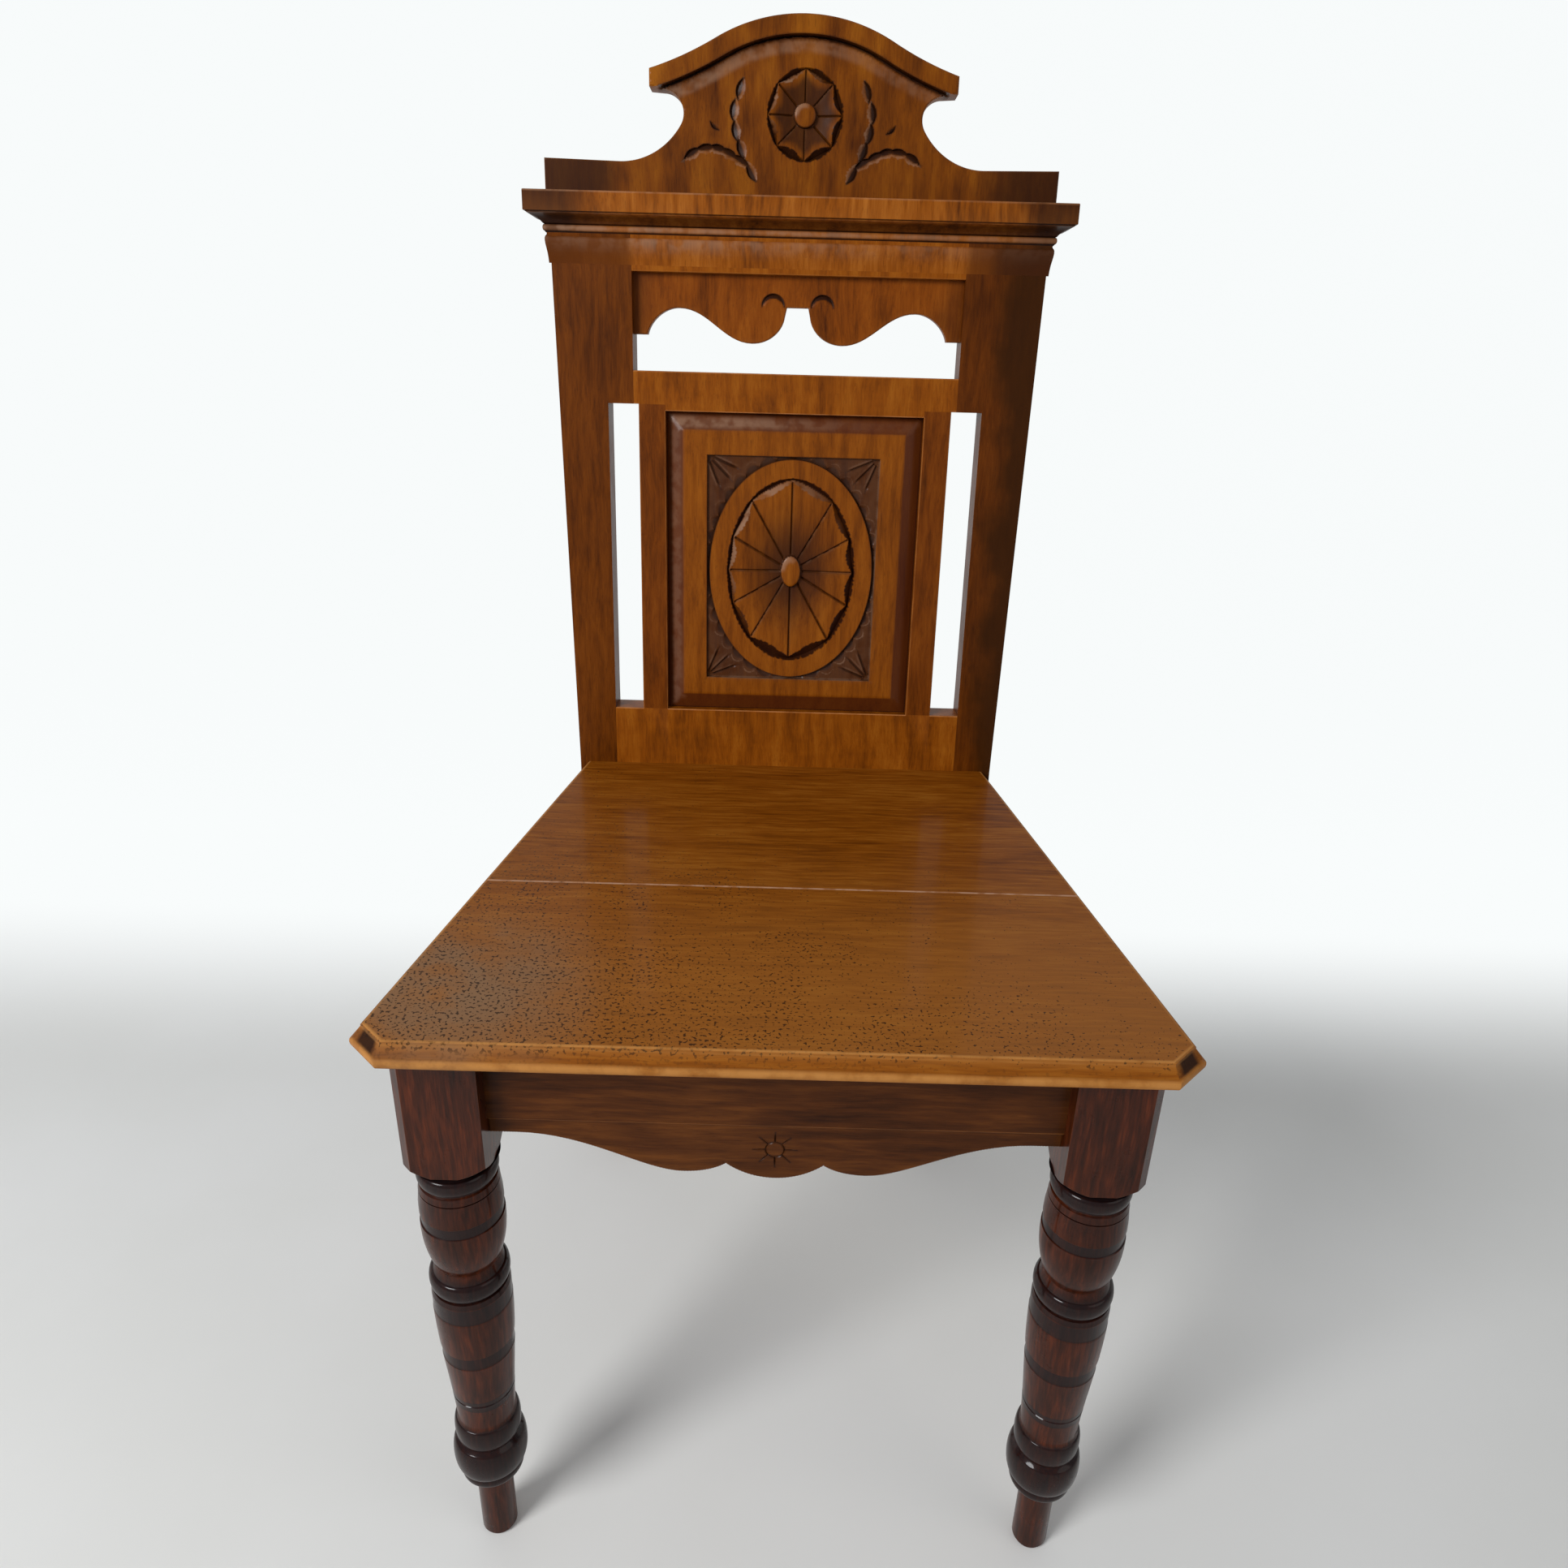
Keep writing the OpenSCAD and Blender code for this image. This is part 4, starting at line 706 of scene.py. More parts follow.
def flowerDepth(points, f):
    angle, r, rim, edge, hub, across, beside = flowerParts(points, f)
    deepest = f["trench"] * ease((rim - edge) / f["fullAt"])
    low = f["trenchAt"]
    trench = deepest * np.where(across < low, across / low, (1 - across) / (1 - low))
    dish = f["dish"] * (1 - ease((r - hub) / (f["dishShare"] * rim - hub)))
    crown = f["crown"] * unit(1 - np.abs(np.sin(f["petals"] * angle / 2))) ** 2
    cut = f["cut"] * unit(1 - np.abs(beside) / f["cutHalf"]) * ease((r - hub) / petalMarks["cutStart"])
    inner = dish + crown * ease((r - hub) / petalMarks["crownStart"]) + cut
    wall = ease((r / hub - 1) * f["buttonA"] / f["wall"])
    button = -f["buttonDome"] * np.sqrt(unit(1 - (r / hub) ** 4))
    return np.where(r > rim, 0, np.where(r > edge, trench, np.where(r > hub, inner * wall, button)))


def flowerPaint(points, f):
    angle, r, rim, edge, hub, across, beside = flowerParts(points, f)
    toLight = np.cos(angle - lightFrom)
    inTrench = (r > edge) & (r < rim)
    petalEnd = across < f["trenchAt"] - petalMarks["endShare"]
    wide = ease((rim - edge) / f["fullAt"])
    endDark = wide * unit(petalMarks["endDark"] * (1 - toLight))
    endPale = wide * unit(1 - petalMarks["endPale"] * (1 - toLight))
    hollow = np.where(inTrench, np.where(petalEnd, endDark, 1), 0)
    bloom = np.where(inTrench & petalEnd, endPale, 0)
    dished = ease((f["shadeShare"] * edge - r) / (f["shadeFade"] * rim)) * f["shade"]
    inCut = (unit(petalMarks["cutSpread"] - np.abs(beside) / f["cutHalf"])
             * ease((r - hub) / petalMarks["cutStart"]))
    cutToLight = -np.sign(beside) * np.cos(angle + pi / 2 - lightFrom)
    cutShade = inCut * unit(petalMarks["cutDark"] - petalMarks["cutTurn"] * cutToLight)
    onPetal = (r > hub) & (r < edge)
    hollow = np.where(onPetal, np.maximum(dished, cutShade), hollow)
    bloom = np.where(onPetal, inCut * unit(cutToLight) * petalMarks["cutPale"], bloom)
    litButton = unit((np.cos(angle - petalMarks["buttonFrom"]) - 0.4) * 3) * unit((r / hub - 0.5) * 4)
    return {"hollow": hollow, "bloom": np.where(r < hub, litButton * petalMarks["buttonPale"], bloom)}


def flowerLines(f):
    n = f["petals"]
    cx, cz = f["middle"]

    def ring(reach, steps):
        turns = [2 * pi * i / steps for i in range(steps)]
        return [(cx + reach(t) * cos(t), cz + reach(t) * sin(t)) for t in turns]

    def rimReach(t):
        return float(ovalReach(t, f["a"], f["b"]))

    def petalReach(t):
        return float(petalEdge(t, f))

    def trenchReach(t):
        return petalReach(t) + (rimReach(t) - petalReach(t)) * f["trenchAt"]

    def hubReach(t):
        return float(buttonEdge(t, f))

    steps = n * f["steps"]
    lines = [(ring(rimReach, steps), True, "ridge"), (ring(trenchReach, steps), True, "plain"),
             (ring(petalReach, steps), True, "ridge"), (ring(hubReach, 64), True, "ridge"),
             (ring(lambda t: float(buttonEdge(t, f) + f["wall"]), 64), True, "valley")]
    for i in range(n):
        t = 2 * pi * i / n
        ends = (hubReach(t) + f["wall"] + 0.3, petalReach(t) - 0.3)
        for offset, sort in ((0, "plain"), (f["cutHalf"], "ridge"), (-f["cutHalf"], "ridge")):
            line = [(cx + r * cos(t) - offset * sin(t), cz + r * sin(t) + offset * cos(t)) for r in ends]
            lines.append((stepped(line, 1.2, closed=False), False, sort))
    return lines


# Panel: bevelled round a raised field, with the oval flower in its ring and a fan in each corner
panelLow, panelHigh = backBox("back_panel")
muntinLow, muntinHigh = backBox("muntin_right")
railTop = backBox("back_bottom_rail")[1][2]
middleFoot = backBox("back_middle_rail")[0][2]
panel = {
    "fieldSet": 2.5, "bevelRise": 5.6, "bevelWidth": 13.5,
    "opening": muntinLow[0], "openingLow": railTop, "openingHigh": middleFoot,
    "middle": (0, 163.7), "halfW": 67.0, "halfH": 88.3, "ringA": 64.8, "ringB": 86.2,
    "fanDepth": 2.2, "trench": 3.6, "wall": 0.4, "scallops": 40, "scallopBow": 0.068, "scallopGap": 1.02,
    "rayReach": 28.0, "rayHalf": 1.2, "rayDepth": 1.4, "rayFade": 6.0, "cornerHollow": 6.0, "cornerWall": 1.5,
}
# How much darkening, painted shade and painted highlight the panel has, by the part of the carving
panelMarks = {
    "fanDark": 0.82, "scallopShade": 1.6, "rayShade": 1.8, "bevelStain": 0.75,
    "fanSheen": 0.1, "scallopHighlight": 0.75, "rayHighlight": 0.4, "edgeHighlight": 0.5, "headHighlight": 0.75, "sideHighlight": 0.3,
    "scallopLine": 0.7, "rayLine": 2.0, "rayLineHalf": 1.1, "rayShadeHalf": 0.8,
    "edgeAt": 0.2, "edgeHalf": 0.8, "edgeSpread": 1.2, "stainOver": 0.4, "stainFade": 1.6, "sheenFrom": 1.0,
    "sheenGrow": 3.0, "sheenFade": 4.0, "headLeast": 0.1, "headFrom": 65.0, "headFade": 130.0,
}
flower = {
    "a": 50.8, "b": 72.2, "middle": panel["middle"], "petals": 12, "cusp": 0.96, "crescent": 0.085,
    "steps": 18, "trench": 3.6, "fullAt": 2.6, "trenchAt": 0.72, "wall": 0.4, "dish": 2.8, "dishShare": 0.8,
    "crown": 0.25, "cut": 1.6, "cutHalf": 1.2, "buttonA": 7.6, "buttonB": 12.0, "buttonDome": 0.9,
    "shade": 0.9, "shadeShare": 0.94, "shadeFade": 0.68,
}


def ringReach(angle):
    return ovalReach(angle, panel["ringA"], panel["ringB"])


def fanEdge(angle):
    lobe = np.abs(np.sin(panel["scallops"] * angle / 2))
    return ringReach(angle) * panel["scallopGap"] * (1 + panel["scallopBow"] * lobe)


def fanRays():
    turns = [radians(90 * k / 4) for k in (1, 2, 3)]
    return [((sx * panel["halfW"], panel["middle"][1] + sz * panel["halfH"]), (-sx * cos(t), -sz * sin(t)))
            for sx in (-1, 1) for sz in (-1, 1) for t in turns]


# Along the ray, beside it, and away from its corner
def byRay(points, corner, way):
    run = points - np.array(corner)
    return run @ np.array(way), run[:, 0] * way[1] - run[:, 1] * way[0], np.linalg.norm(run, axis=1)


def rayShare(along):
    return ease((panel["rayReach"] - along) / panel["rayFade"])


def toRectangle(points):
    x, z = (points - np.array(panel["middle"])).T
    return x, z, np.minimum(panel["halfW"] - np.abs(x), panel["halfH"] - np.abs(z))


# Distances in from the side, the foot and the head of the opening, and the least of them
def toOpening(points):
    x, z = points.T
    toSide, toFoot, toHead = panel["opening"] - np.abs(x), z - panel["openingLow"], panel["openingHigh"] - z
    return toSide, toHead, np.minimum(toSide, np.minimum(toFoot, toHead))


def fanDepth(points):
    x, z, angle, r = around(points, panel["middle"])
    outside = r - ringReach(angle)
    toSide = toRectangle(points)[2]
    deeper = panel["trench"] - panel["fanDepth"]
    depth = panel["fanDepth"] + deeper * unit(1 - outside / (fanEdge(angle) - ringReach(angle)))
    for corner, way in fanRays():
        along, beside, away = byRay(points, corner, way)
        groove = unit(1 - np.abs(beside) / panel["rayHalf"]) * rayShare(along)
        depth = np.maximum(depth, np.where(along > 0, panel["fanDepth"] + panel["rayDepth"] * groove, 0))
        hollow = unit((panel["cornerHollow"] - away) / panel["cornerWall"])
        depth = np.maximum(depth, panel["fanDepth"] + deeper * hollow)
    walls = unit(outside / panel["wall"]) * unit(toSide / panel["wall"])
    return np.where((outside > 0) & (toSide > 0), depth * walls, 0)


def panelDepth(points):
    rise = unit(toOpening(points)[2] / panel["bevelWidth"])
    flat = panel["fieldSet"] + panel["bevelRise"] * (1 - rise)
    return flat + flowerDepth(points, flower) + fanDepth(points)


def raised(marks, key, values):
    marks[key] = np.maximum(marks[key], values)


# Painted highlights are palest at the left, towards the light: their share at the right, where they start to
# grow, and over how far
def leftward(x, least, start, reach):
    return least + (1 - least) * ease((start - x) / reach)


# Fans: the sunk ground darker, painted shade in the trench by the ring and in the ray grooves, a faint
# painted sheen over the ground, and painted highlights on the scallop ridges and on the lit side of each ray
def paintFans(points, marks):
    x, z, angle, r = around(points, panel["middle"])
    inFan = fanDepth(points) > 1
    outside = r - ringReach(angle)
    gap = fanEdge(angle) - ringReach(angle)
    scallop = unit(panelMarks["scallopShade"] - outside / np.maximum(gap, 0.4))
    raised(marks, "hollow", inFan * np.maximum(panelMarks["fanDark"], scallop))
    line = panelMarks["scallopLine"]
    toLight = np.clip(0.6 + 0.5 * np.cos(angle + pi / 4), 0.3, 1)
    ridge = unit(1 - np.abs(outside - gap - line) / line) * toLight
    raised(marks, "bloom", inFan * np.maximum(panelMarks["fanSheen"], ridge * panelMarks["scallopHighlight"]))
    for corner, way in fanRays():
        along, beside, away = byRay(points, corner, way)
        onRay = inFan * (along > panel["cornerHollow"]) * rayShare(along)
        darkAndShade = unit(panelMarks["rayShade"] - np.abs(beside) / panelMarks["rayShadeHalf"])
        raised(marks, "hollow", onRay * darkAndShade)
        litSide = beside * np.sign(way[0] + way[1] * 0.5)
        pale = unit(1 - np.abs(litSide + panelMarks["rayLine"]) / panelMarks["rayLineHalf"])
        raised(marks, "bloom", onRay * pale * panelMarks["rayHighlight"])


# The right and lower edges of the carved rectangle catch the light
def paintEdges(points, marks):
    x, z, inside = toRectangle(points)
    litEdge = ((panel["halfW"] - x == inside) & (x > 0)) | ((panel["halfH"] + z == inside) & (z < 0))
    near = unit(panelMarks["edgeSpread"] - np.abs(inside - panelMarks["edgeAt"]) / panelMarks["edgeHalf"])
    pale = near * litEdge * panelMarks["edgeHighlight"]
    raised(marks, "bloom", pale)
    marks["hollow"] = np.where(pale > 0.1, 0, marks["hollow"])


# The bevels are stained darker all round; the top bevel and the left one get a painted highlight, palest
# towards the left
def paintBevel(points, marks):
    m = panelMarks
    toSide, toHead, inward = toOpening(points)
    x = points[:, 0]
    toField = panel["bevelWidth"] - inward
    marks["stain"] = ease((toField + m["stainOver"]) / m["stainFade"]) * m["bevelStain"]
    sheen = ease((inward - m["sheenFrom"]) / m["sheenGrow"]) * ease(toField / m["sheenFade"])
    onHead = m["headLeast"] + m["headHighlight"] * ease((m["headFrom"] - x) / m["headFade"])
    onLeft = np.where((toSide == inward) & (x < 0), m["sideHighlight"], 0)
    raised(marks, "bloom", sheen * np.where(toHead == inward, onHead, onLeft))


def panelPaint(points):
    marks = flowerPaint(points, flower)
    paintFans(points, marks)
    paintEdges(points, marks)
    paintBevel(points, marks)
    return marks


def rectangle(half, low, high, inward, step):
    x, low, high = half - inward, low + inward, high - inward
    return stepped([(-x, low), (x, low), (x, high), (-x, high)], step)


def panelLines():
    cx, cz = panel["middle"]
    carved = (panel["halfW"], cz - panel["halfH"], cz + panel["halfH"])
    opening = (panel["opening"], panel["openingLow"], panel["openingHigh"])
    bevel = panel["bevelWidth"]
    lines = flowerLines(flower)
    for bounds, inward, step, sort in (
            (carved, 0, 2, "ridge"), (carved, panel["wall"], 2, "valley"), (opening, bevel, 2, "plain"),
            (opening, 0, 4, "valley"), (opening, 1.2, 2, "plain"), (opening, bevel - 1.2, 2, "plain"),
            (opening, bevel + 1.6, 2, "plain")):
        lines.append((rectangle(*bounds, inward, step), True, sort))
    for sx in (-1, 1):
        for edge, way in ((panel["openingLow"], 1), (panel["openingHigh"], -1)):
            corner = (sx * panel["opening"], edge)
            inner = (sx * (panel["opening"] - bevel), edge + way * bevel)
            lines.append((stepped([corner, inner], 3, closed=False)[1:-1], False, "plain"))
    steps = 480
    turns = np.arange(steps) * 2 * pi / steps
    outer = ringReach(turns)
    lines.append(([(cx + r * cos(t), cz + r * sin(t)) for r, t in zip(outer, turns)], True, "ridge"))
    for reach, sort in ((outer + panel["wall"], "valley"), (fanEdge(turns), "ridge")):
        line = [(cx + r * cos(t), cz + r * sin(t)) for r, t in zip(reach, turns)]
        keep = [abs(x) < panel["halfW"] - 0.5 and abs(z - cz) < panel["halfH"] - 0.5 for x, z in line]
        lines += [(run, False, sort) for run in runsWhere(line, keep, closed=True)]
    for corner, way in fanRays():
        for offset, sort in ((0, "valley"), (panel["rayHalf"], "ridge"), (-panel["rayHalf"], "ridge")):
            ends = [(corner[0] + way[0] * s - way[1] * offset, corner[1] + way[1] * s + way[0] * offset)
                    for s in (panel["cornerHollow"], panel["rayReach"])]
            line = stepped(ends, 1.2, closed=False)
            reach = [hypot(x - cx, z - cz) - float(fanEdge(atan2(z - cz, x - cx))) for x, z in line]
            lines += [(run, False, sort) for run in runsWhere(line, [r > 0.3 for r in reach])]
    return lines


def nearCarving(points):
    return toRectangle(points)[2] > -1


carvedBoard("back_panel_carved", {
    "outline": [(-panelHigh[0], panelLow[2]), (panelHigh[0], panelLow[2]),
                (panelHigh[0], panelHigh[2]), (-panelHigh[0], panelHigh[2])],
    "edgeStep": 4, "lines": panelLines(), "depthAt": panelDepth, "paintAt": panelPaint, "rear": panelHigh[1],
    "fineWhere": nearCarving, "fine": 1.15, "coarse": 4,
}, backPlace, "panelWalnut", ["back_panel"])


# Crest: its outline, the flat band of the hood with a groove under it, the round flower and the nicks
crestLow, crestHigh = backBox("crest_board")
crest = {
    "foot": crestLow[2], "height": crestHigh[2] - crestLow[2], "halfW": crestHigh[0], "endHeight": 23.7,
    "neckHalf": 84.8, "neckZ": 54.0, "neckR": 14.0, "sweepR": 52.0, "sweepJoin": 33.0,
    "hoodHalf": 108.2, "tip": 11.0, "band": 12.0, "face": 7.0, "archR": 130.0, "archHalf": 62.0,
    "turnR": 249.0, "wall": 0.35, "groove": 1.6, "coveHead": 3.5, "shoulder": 8.0, "arris": 1.0,
    "nickLength": 14.5, "nickWidth": 6.6, "nickDepth": 2.4, "nickHighlight": 0.55,
    "grooveShade": 0.9, "grooveFade": 0.8, "coveHighlight": 0.7, "coveGrow": 1.2, "coveOver": 1.5, "coveFade": 4.0,
    "leftward": (0.4, 60.0, 140.0),
    # the nicks of one side: share of the hood's half width, share of the height, turn and size
    "nicks": [(0.410, 0.608, 105, 1), (0.450, 0.494, 95, 1), (0.437, 0.382, 80, 1), (0.400, 0.283, 70, 1),
              (0.332, 0.156, 62, 1), (0.726, 0.247, 149, 1), (0.638, 0.277, 173, 1), (0.555, 0.275, 193, 1),
              (0.485, 0.251, 205, 1), (0.407, 0.212, 210, 1), (0.580, 0.405, 40, 0.55)],
}
archMiddle = np.array([0, crest["height"] - crest["archR"]])
archJoin = asin(crest["archHalf"] / crest["archR"])
turnMiddle = archMiddle + (crest["archR"] + crest["turnR"]) * np.array([sin(archJoin), cos(archJoin)])
rosette = {
    "a": 27.0, "b": 29.5, "middle": (1.5, 54.5), "petals": 8, "cusp": 0.96, "crescent": 0.17, "steps": 14,
    "trench": 3.4, "fullAt": 4.0, "trenchAt": 0.6, "wall": 0.4, "dish": 2.8, "dishShare": 0.9, "crown": 0.2,
    "cut": 1.2, "cutHalf": 0.9, "buttonA": 7.6, "buttonB": 7.6, "buttonDome": 1.0,
    "shade": 0.8, "shadeShare": 1.0, "shadeFade": 0.22,
}


def hoodLine(drop):
    r = crest["turnR"] + drop
    joinDegrees = archJoin * 180 / pi
    start = 270 - asin((turnMiddle[0] - crest["hoodHalf"]) / r) * 180 / pi
    return (arcLine(turnMiddle, r, start, 270 - joinDegrees, 16)[:-1]
            + arcLine(archMiddle, crest["archR"] - drop, 90 - joinDegrees, 90, 20))


def crestSide():
    neck = np.array([crest["neckHalf"] + crest["neckR"], crest["neckZ"]])
    join = radians(crest["sweepJoin"])
    sweep = neck + (crest["sweepR"] - crest["neckR"]) * np.array([cos(join), sin(join)])
    tip = hoodLine(0)[0]
    return ([(crest["halfW"], 0), (crest["halfW"], crest["endHeight"])]
            + arcLine(sweep, crest["sweepR"], 270, 180 + crest["sweepJoin"], 24)
            + arcLine(neck, crest["neckR"], 180 + crest["sweepJoin"], 90, 24)[1:]
            + [(tip[0], tip[1] - crest["tip"])] + hoodLine(0)[:-1])


crestOutline = mirrored(crestSide() + [(0.5, crest["height"] - 0.001)])


def hoodDrop(points):
    x, z = np.abs(points[:, 0]), points[:, 1]
    angle = np.arctan2(x, z - archMiddle[1])
    arch = crest["archR"] - np.hypot(x, z - archMiddle[1])
    turn = np.hypot(x - turnMiddle[0], z - turnMiddle[1]) - crest["turnR"]
    return np.where((angle < archJoin) & (z > archMiddle[1]), arch, turn)


# A nick is a thumbnail cut: a steep wall on one side, and a floor that rises to the other
def nickPlaces():
    places = []
    for sx in (-1, 1):
        for across, up, turn, size in crest["nicks"]:
            a = radians(turn)
            places.append(((sx * across * crest["hoodHalf"], up * crest["height"]), (sx * cos(a), sin(a)),
                           (sx * -sin(a), cos(a)), size))
    return places


def nickCuts(points):
    depth, hollow, bloom = (np.zeros(len(points)) for i in range(3))
    for middle, along, beside, size in nickPlaces():
        run = points - np.array(middle)
        a, b = run @ np.array(along), run @ np.array(beside)
        full = unit(1 - (2 * a / (crest["nickLength"] * size)) ** 2)
        half = full * crest["nickWidth"] * size / 2
        across = (b + half) / np.maximum(2 * half, 1e-6)
        wall = unit((b + half) / crest["wall"])
        cut = crest["nickDepth"] * (0.5 + 0.5 * size) * np.sqrt(full) * (1 - across) * wall
        deeper = (np.abs(b) < half) & (full > 0) & (cut >= depth)
        depth = np.where(deeper, cut, depth)
        # Painted shadow of the steep wall over the near half of the floor; a painted highlight on the far
        # side of the larger nicks
        hollow = np.where(deeper, 1 - ease((across - 0.5) / 0.3), hollow)
        bloom = np.where(deeper, ease((across - 0.6) / 0.2) * (crest["nickHighlight"] if size == 1 else 0), bloom)
    return depth, hollow, bloom


def nickLines():
    lines = []
    for middle, along, beside, size in nickPlaces():
        reach = crest["nickLength"] * size / 2
        for inner, sort in ((0, "ridge"), (crest["wall"], "valley"), (None, "ridge")):
            line = []
            for s in np.linspace(-0.97, 0.97, 13):
                half = (1 - s * s) * crest["nickWidth"] * size / 2
                b = half if inner is None else min(-half + inner, half - 0.05)
                line.append((middle[0] + along[0] * s * reach + beside[0] * b,
                             middle[1] + along[1] * s * reach + beside[1] * b))
            lines.append((line, False, sort))
    return lines


def underHood(points):
    return hoodDrop(points) - crest["band"] - crest["wall"]


def crestDepth(points):
    under = underHood(points)
    fall = unit((under - crest["groove"]) / crest["shoulder"])
    cove = crest["coveHead"] + (crest["face"] - crest["coveHead"]) * np.sqrt(1 - (1 - fall) ** 2)
    wall = crest["face"] * unit(1 + under / crest["wall"])
    depth = np.where(under < crest["groove"] - crest["wall"], wall, cove)
    rounded = arrisDepth(points, crestOutline, crest["arris"]) * (points[:, 1] > 1)
    return depth + rounded + flowerDepth(points, rosette) + nickCuts(points)[0]


def crestLines():
    lines = flowerLines(rosette) + nickLines()
    foot = crest["band"] + crest["groove"]
    for drop, sort in ((crest["band"], "ridge"), (crest["band"] + crest["wall"], "valley"), (foot, "plain"),
                       (foot + crest["wall"], "plain"), (foot + crest["wall"] + 2, "plain")):
        line = stepped(mirroredOpen(hoodLine(drop)), 2, closed=False)
        keep = insideLine(line, crestOutline) & (lineDistance(np.array(line), crestOutline) > 0.3)
        lines += [(run, False, sort) for run in runsWhere(line, keep)]
    return lines


def crestPaint(points):
    marks = flowerPaint(points, rosette)
    depth, hollow, bloom = nickCuts(points)
    raised(marks, "hollow", hollow)
    raised(marks, "bloom", bloom)
    # Painted shadow in the groove under the hood, and a painted highlight on the cove below it, palest at the
    # left
    under = underHood(points)
    inGroove = (under > 0) * ease((crest["groove"] + crest["grooveFade"] - under) / crest["grooveFade"])
    raised(marks, "hollow", inGroove * crest["grooveShade"])
    coveFoot = crest["groove"] + crest["shoulder"] + crest["coveOver"]
    inCove = (ease((under - crest["groove"]) / crest["coveGrow"])
              * ease((coveFoot - under) / crest["coveFade"]))
    raised(marks, "bloom", inCove * leftward(points[:, 0], *crest["leftward"]) * crest["coveHighlight"])
    return marks


crestPlace = backPlace @ Matrix.Translation((0, 0, crest["foot"]))
carvedBoard("crest_board_carved", {
    "outline": crestOutline, "lines": crestLines(), "depthAt": crestDepth, "paintAt": crestPaint,
    "rear": crestHigh[1], "arris": True, "insets": (0.3, 1.0), "fine": 1.3, "coarse": 3,
    "fineWhere": lambda points: (np.abs(points[:, 0]) < 84) | (hoodDrop(points) < 22),
}, crestPlace, "crestWalnut", ["crest_board"])


# Frieze board: shaped lower edge, and a scroll cut over each middle lobe
friezeLow, friezeHigh = backBox("frieze_board")
frieze = {
    "top": backBox("back_top_rail")[0][2], "height": 47.2, "half": 122.8, "tongue": 5.0, "face": friezeLow[1],
    "end": 0.905, "arch": [(0.915, 0.905), (0.900, 0.708), (0.814, 0.500), (0.721, 0.500)],
    "easeDown": [(0.721, 0.500), (0.542, 0.500), (0.456, 1), (0.277, 1)],
    "lobe": [(0.277, 1), (0.163, 1), (0.086, 0.792), (0.077, 0.597)], "slot": (0.065, 0.458),
    "scrollR": 8.0, "scrollOut": 1.4, "scrollIn": 3.2, "scrollDepth": 2.2, "scrollGap": 2.4,
    "scrollWall": 0.35, "arris": 0.8,
}


def hungLine(shares, width, height, top):
    return [(x * width, top - y * height) for x, y in shares]


def friezeSide():
    line = [(frieze["half"] + frieze["tongue"], frieze["top"] + frieze["tongue"]),
            (frieze["half"] + frieze["tongue"], frieze["top"] - frieze["end"] * frieze["height"])]
    for part in ("arch", "easeDown", "lobe"):
        line += bend(*hungLine(frieze[part], frieze["half"], frieze["height"], frieze["top"]))
    return line + hungLine([frieze["slot"]], frieze["half"], frieze["height"], frieze["top"])


friezeOutline = list(reversed(mirrored(friezeSide())))
scrollMiddle = (frieze["slot"][0] * frieze["half"] + frieze["scrollGap"] + frieze["scrollR"],
                frieze["top"] - frieze["slot"][1] * frieze["height"])


def friezeDepth(points):
    mirroredHalf = np.column_stack((np.abs(points[:, 0]), points[:, 1]))
    x, z, angle, r = around(mirroredHalf, scrollMiddle)
    full = np.sqrt(unit(np.sin(angle)))
    outer = frieze["scrollR"] + frieze["scrollOut"] * full
    inner = frieze["scrollR"] - frieze["scrollIn"] * full
    floor = unit((r - inner) / np.maximum(outer - inner, 1e-6)) * unit((outer - r) / frieze["scrollWall"])
    rounded = arrisDepth(points, friezeOutline, frieze["arris"])
    return frieze["face"] + rounded + frieze["scrollDepth"] * floor * full * (z > 0)


# Painted shade in the scroll cuts
def friezePaint(points):
    cut = friezeDepth(points) - frieze["face"]
    return {"hollow": ease((cut - 0.3) / 0.4) * (lineDistance(points, friezeOutline) > frieze["arris"])}


def friezeLines():
    lines = []
    for sx in (-1, 1):
        for grow, sort in ((frieze["scrollOut"], "ridge"),
                           (frieze["scrollOut"] - frieze["scrollWall"], "valley"),
                           (-frieze["scrollIn"], "ridge")):
            line = []
            for a in np.linspace(4, 176, 30):
                t = radians(a)
                r = frieze["scrollR"] + grow * np.sqrt(sin(t))
                line.append((sx * (scrollMiddle[0] + r * cos(t)), scrollMiddle[1] + r * sin(t)))
            lines.append((line, False, sort))
    return lines


def nearScrolls(points):
    x, z = points.T
    return (np.abs(x) < 34) & (z > scrollMiddle[1] - 2) & (z < scrollMiddle[1] + 14)


carvedBoard("frieze_board_carved", {
    "outline": friezeOutline, "lines": friezeLines(), "depthAt": friezeDepth, "paintAt": friezePaint,
    "rear": friezeHigh[1], "arris": True, "insets": (0.25, 0.8), "coarse": 3, "fineWhere": nearScrolls,
}, backPlace, "friezeWalnut", ["frieze_board"])


# Apron under the front rail, with its star of V cuts
apronLow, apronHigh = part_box("front_apron")
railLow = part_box("front_rail")[0]
apron = {
    "top": railLow.z / mm, "height": (railLow.z - apronLow.z) / mm, "half": apronHigh.x / mm,
    "easeUp": [(0.904, 0.27), (0.651, 0.27), (0.470, 0.914), (0.325, 0.914)],
    "cusp": [(0.325, 0.914), (0.265, 0.914), (0.211, 0.86), (0.173, 0.744)],
    "lobe": [(0.173, 0.744), (0.120, 0.92), (0.060, 1), (0, 1)],
    "starShare": 0.46, "ray": 13.0, "ring": 5.5, "rays": 8, "rayTip": 4.0, "cutHalf": 0.7,
    "cutDepth": 0.8, "arris": 0.8,
}


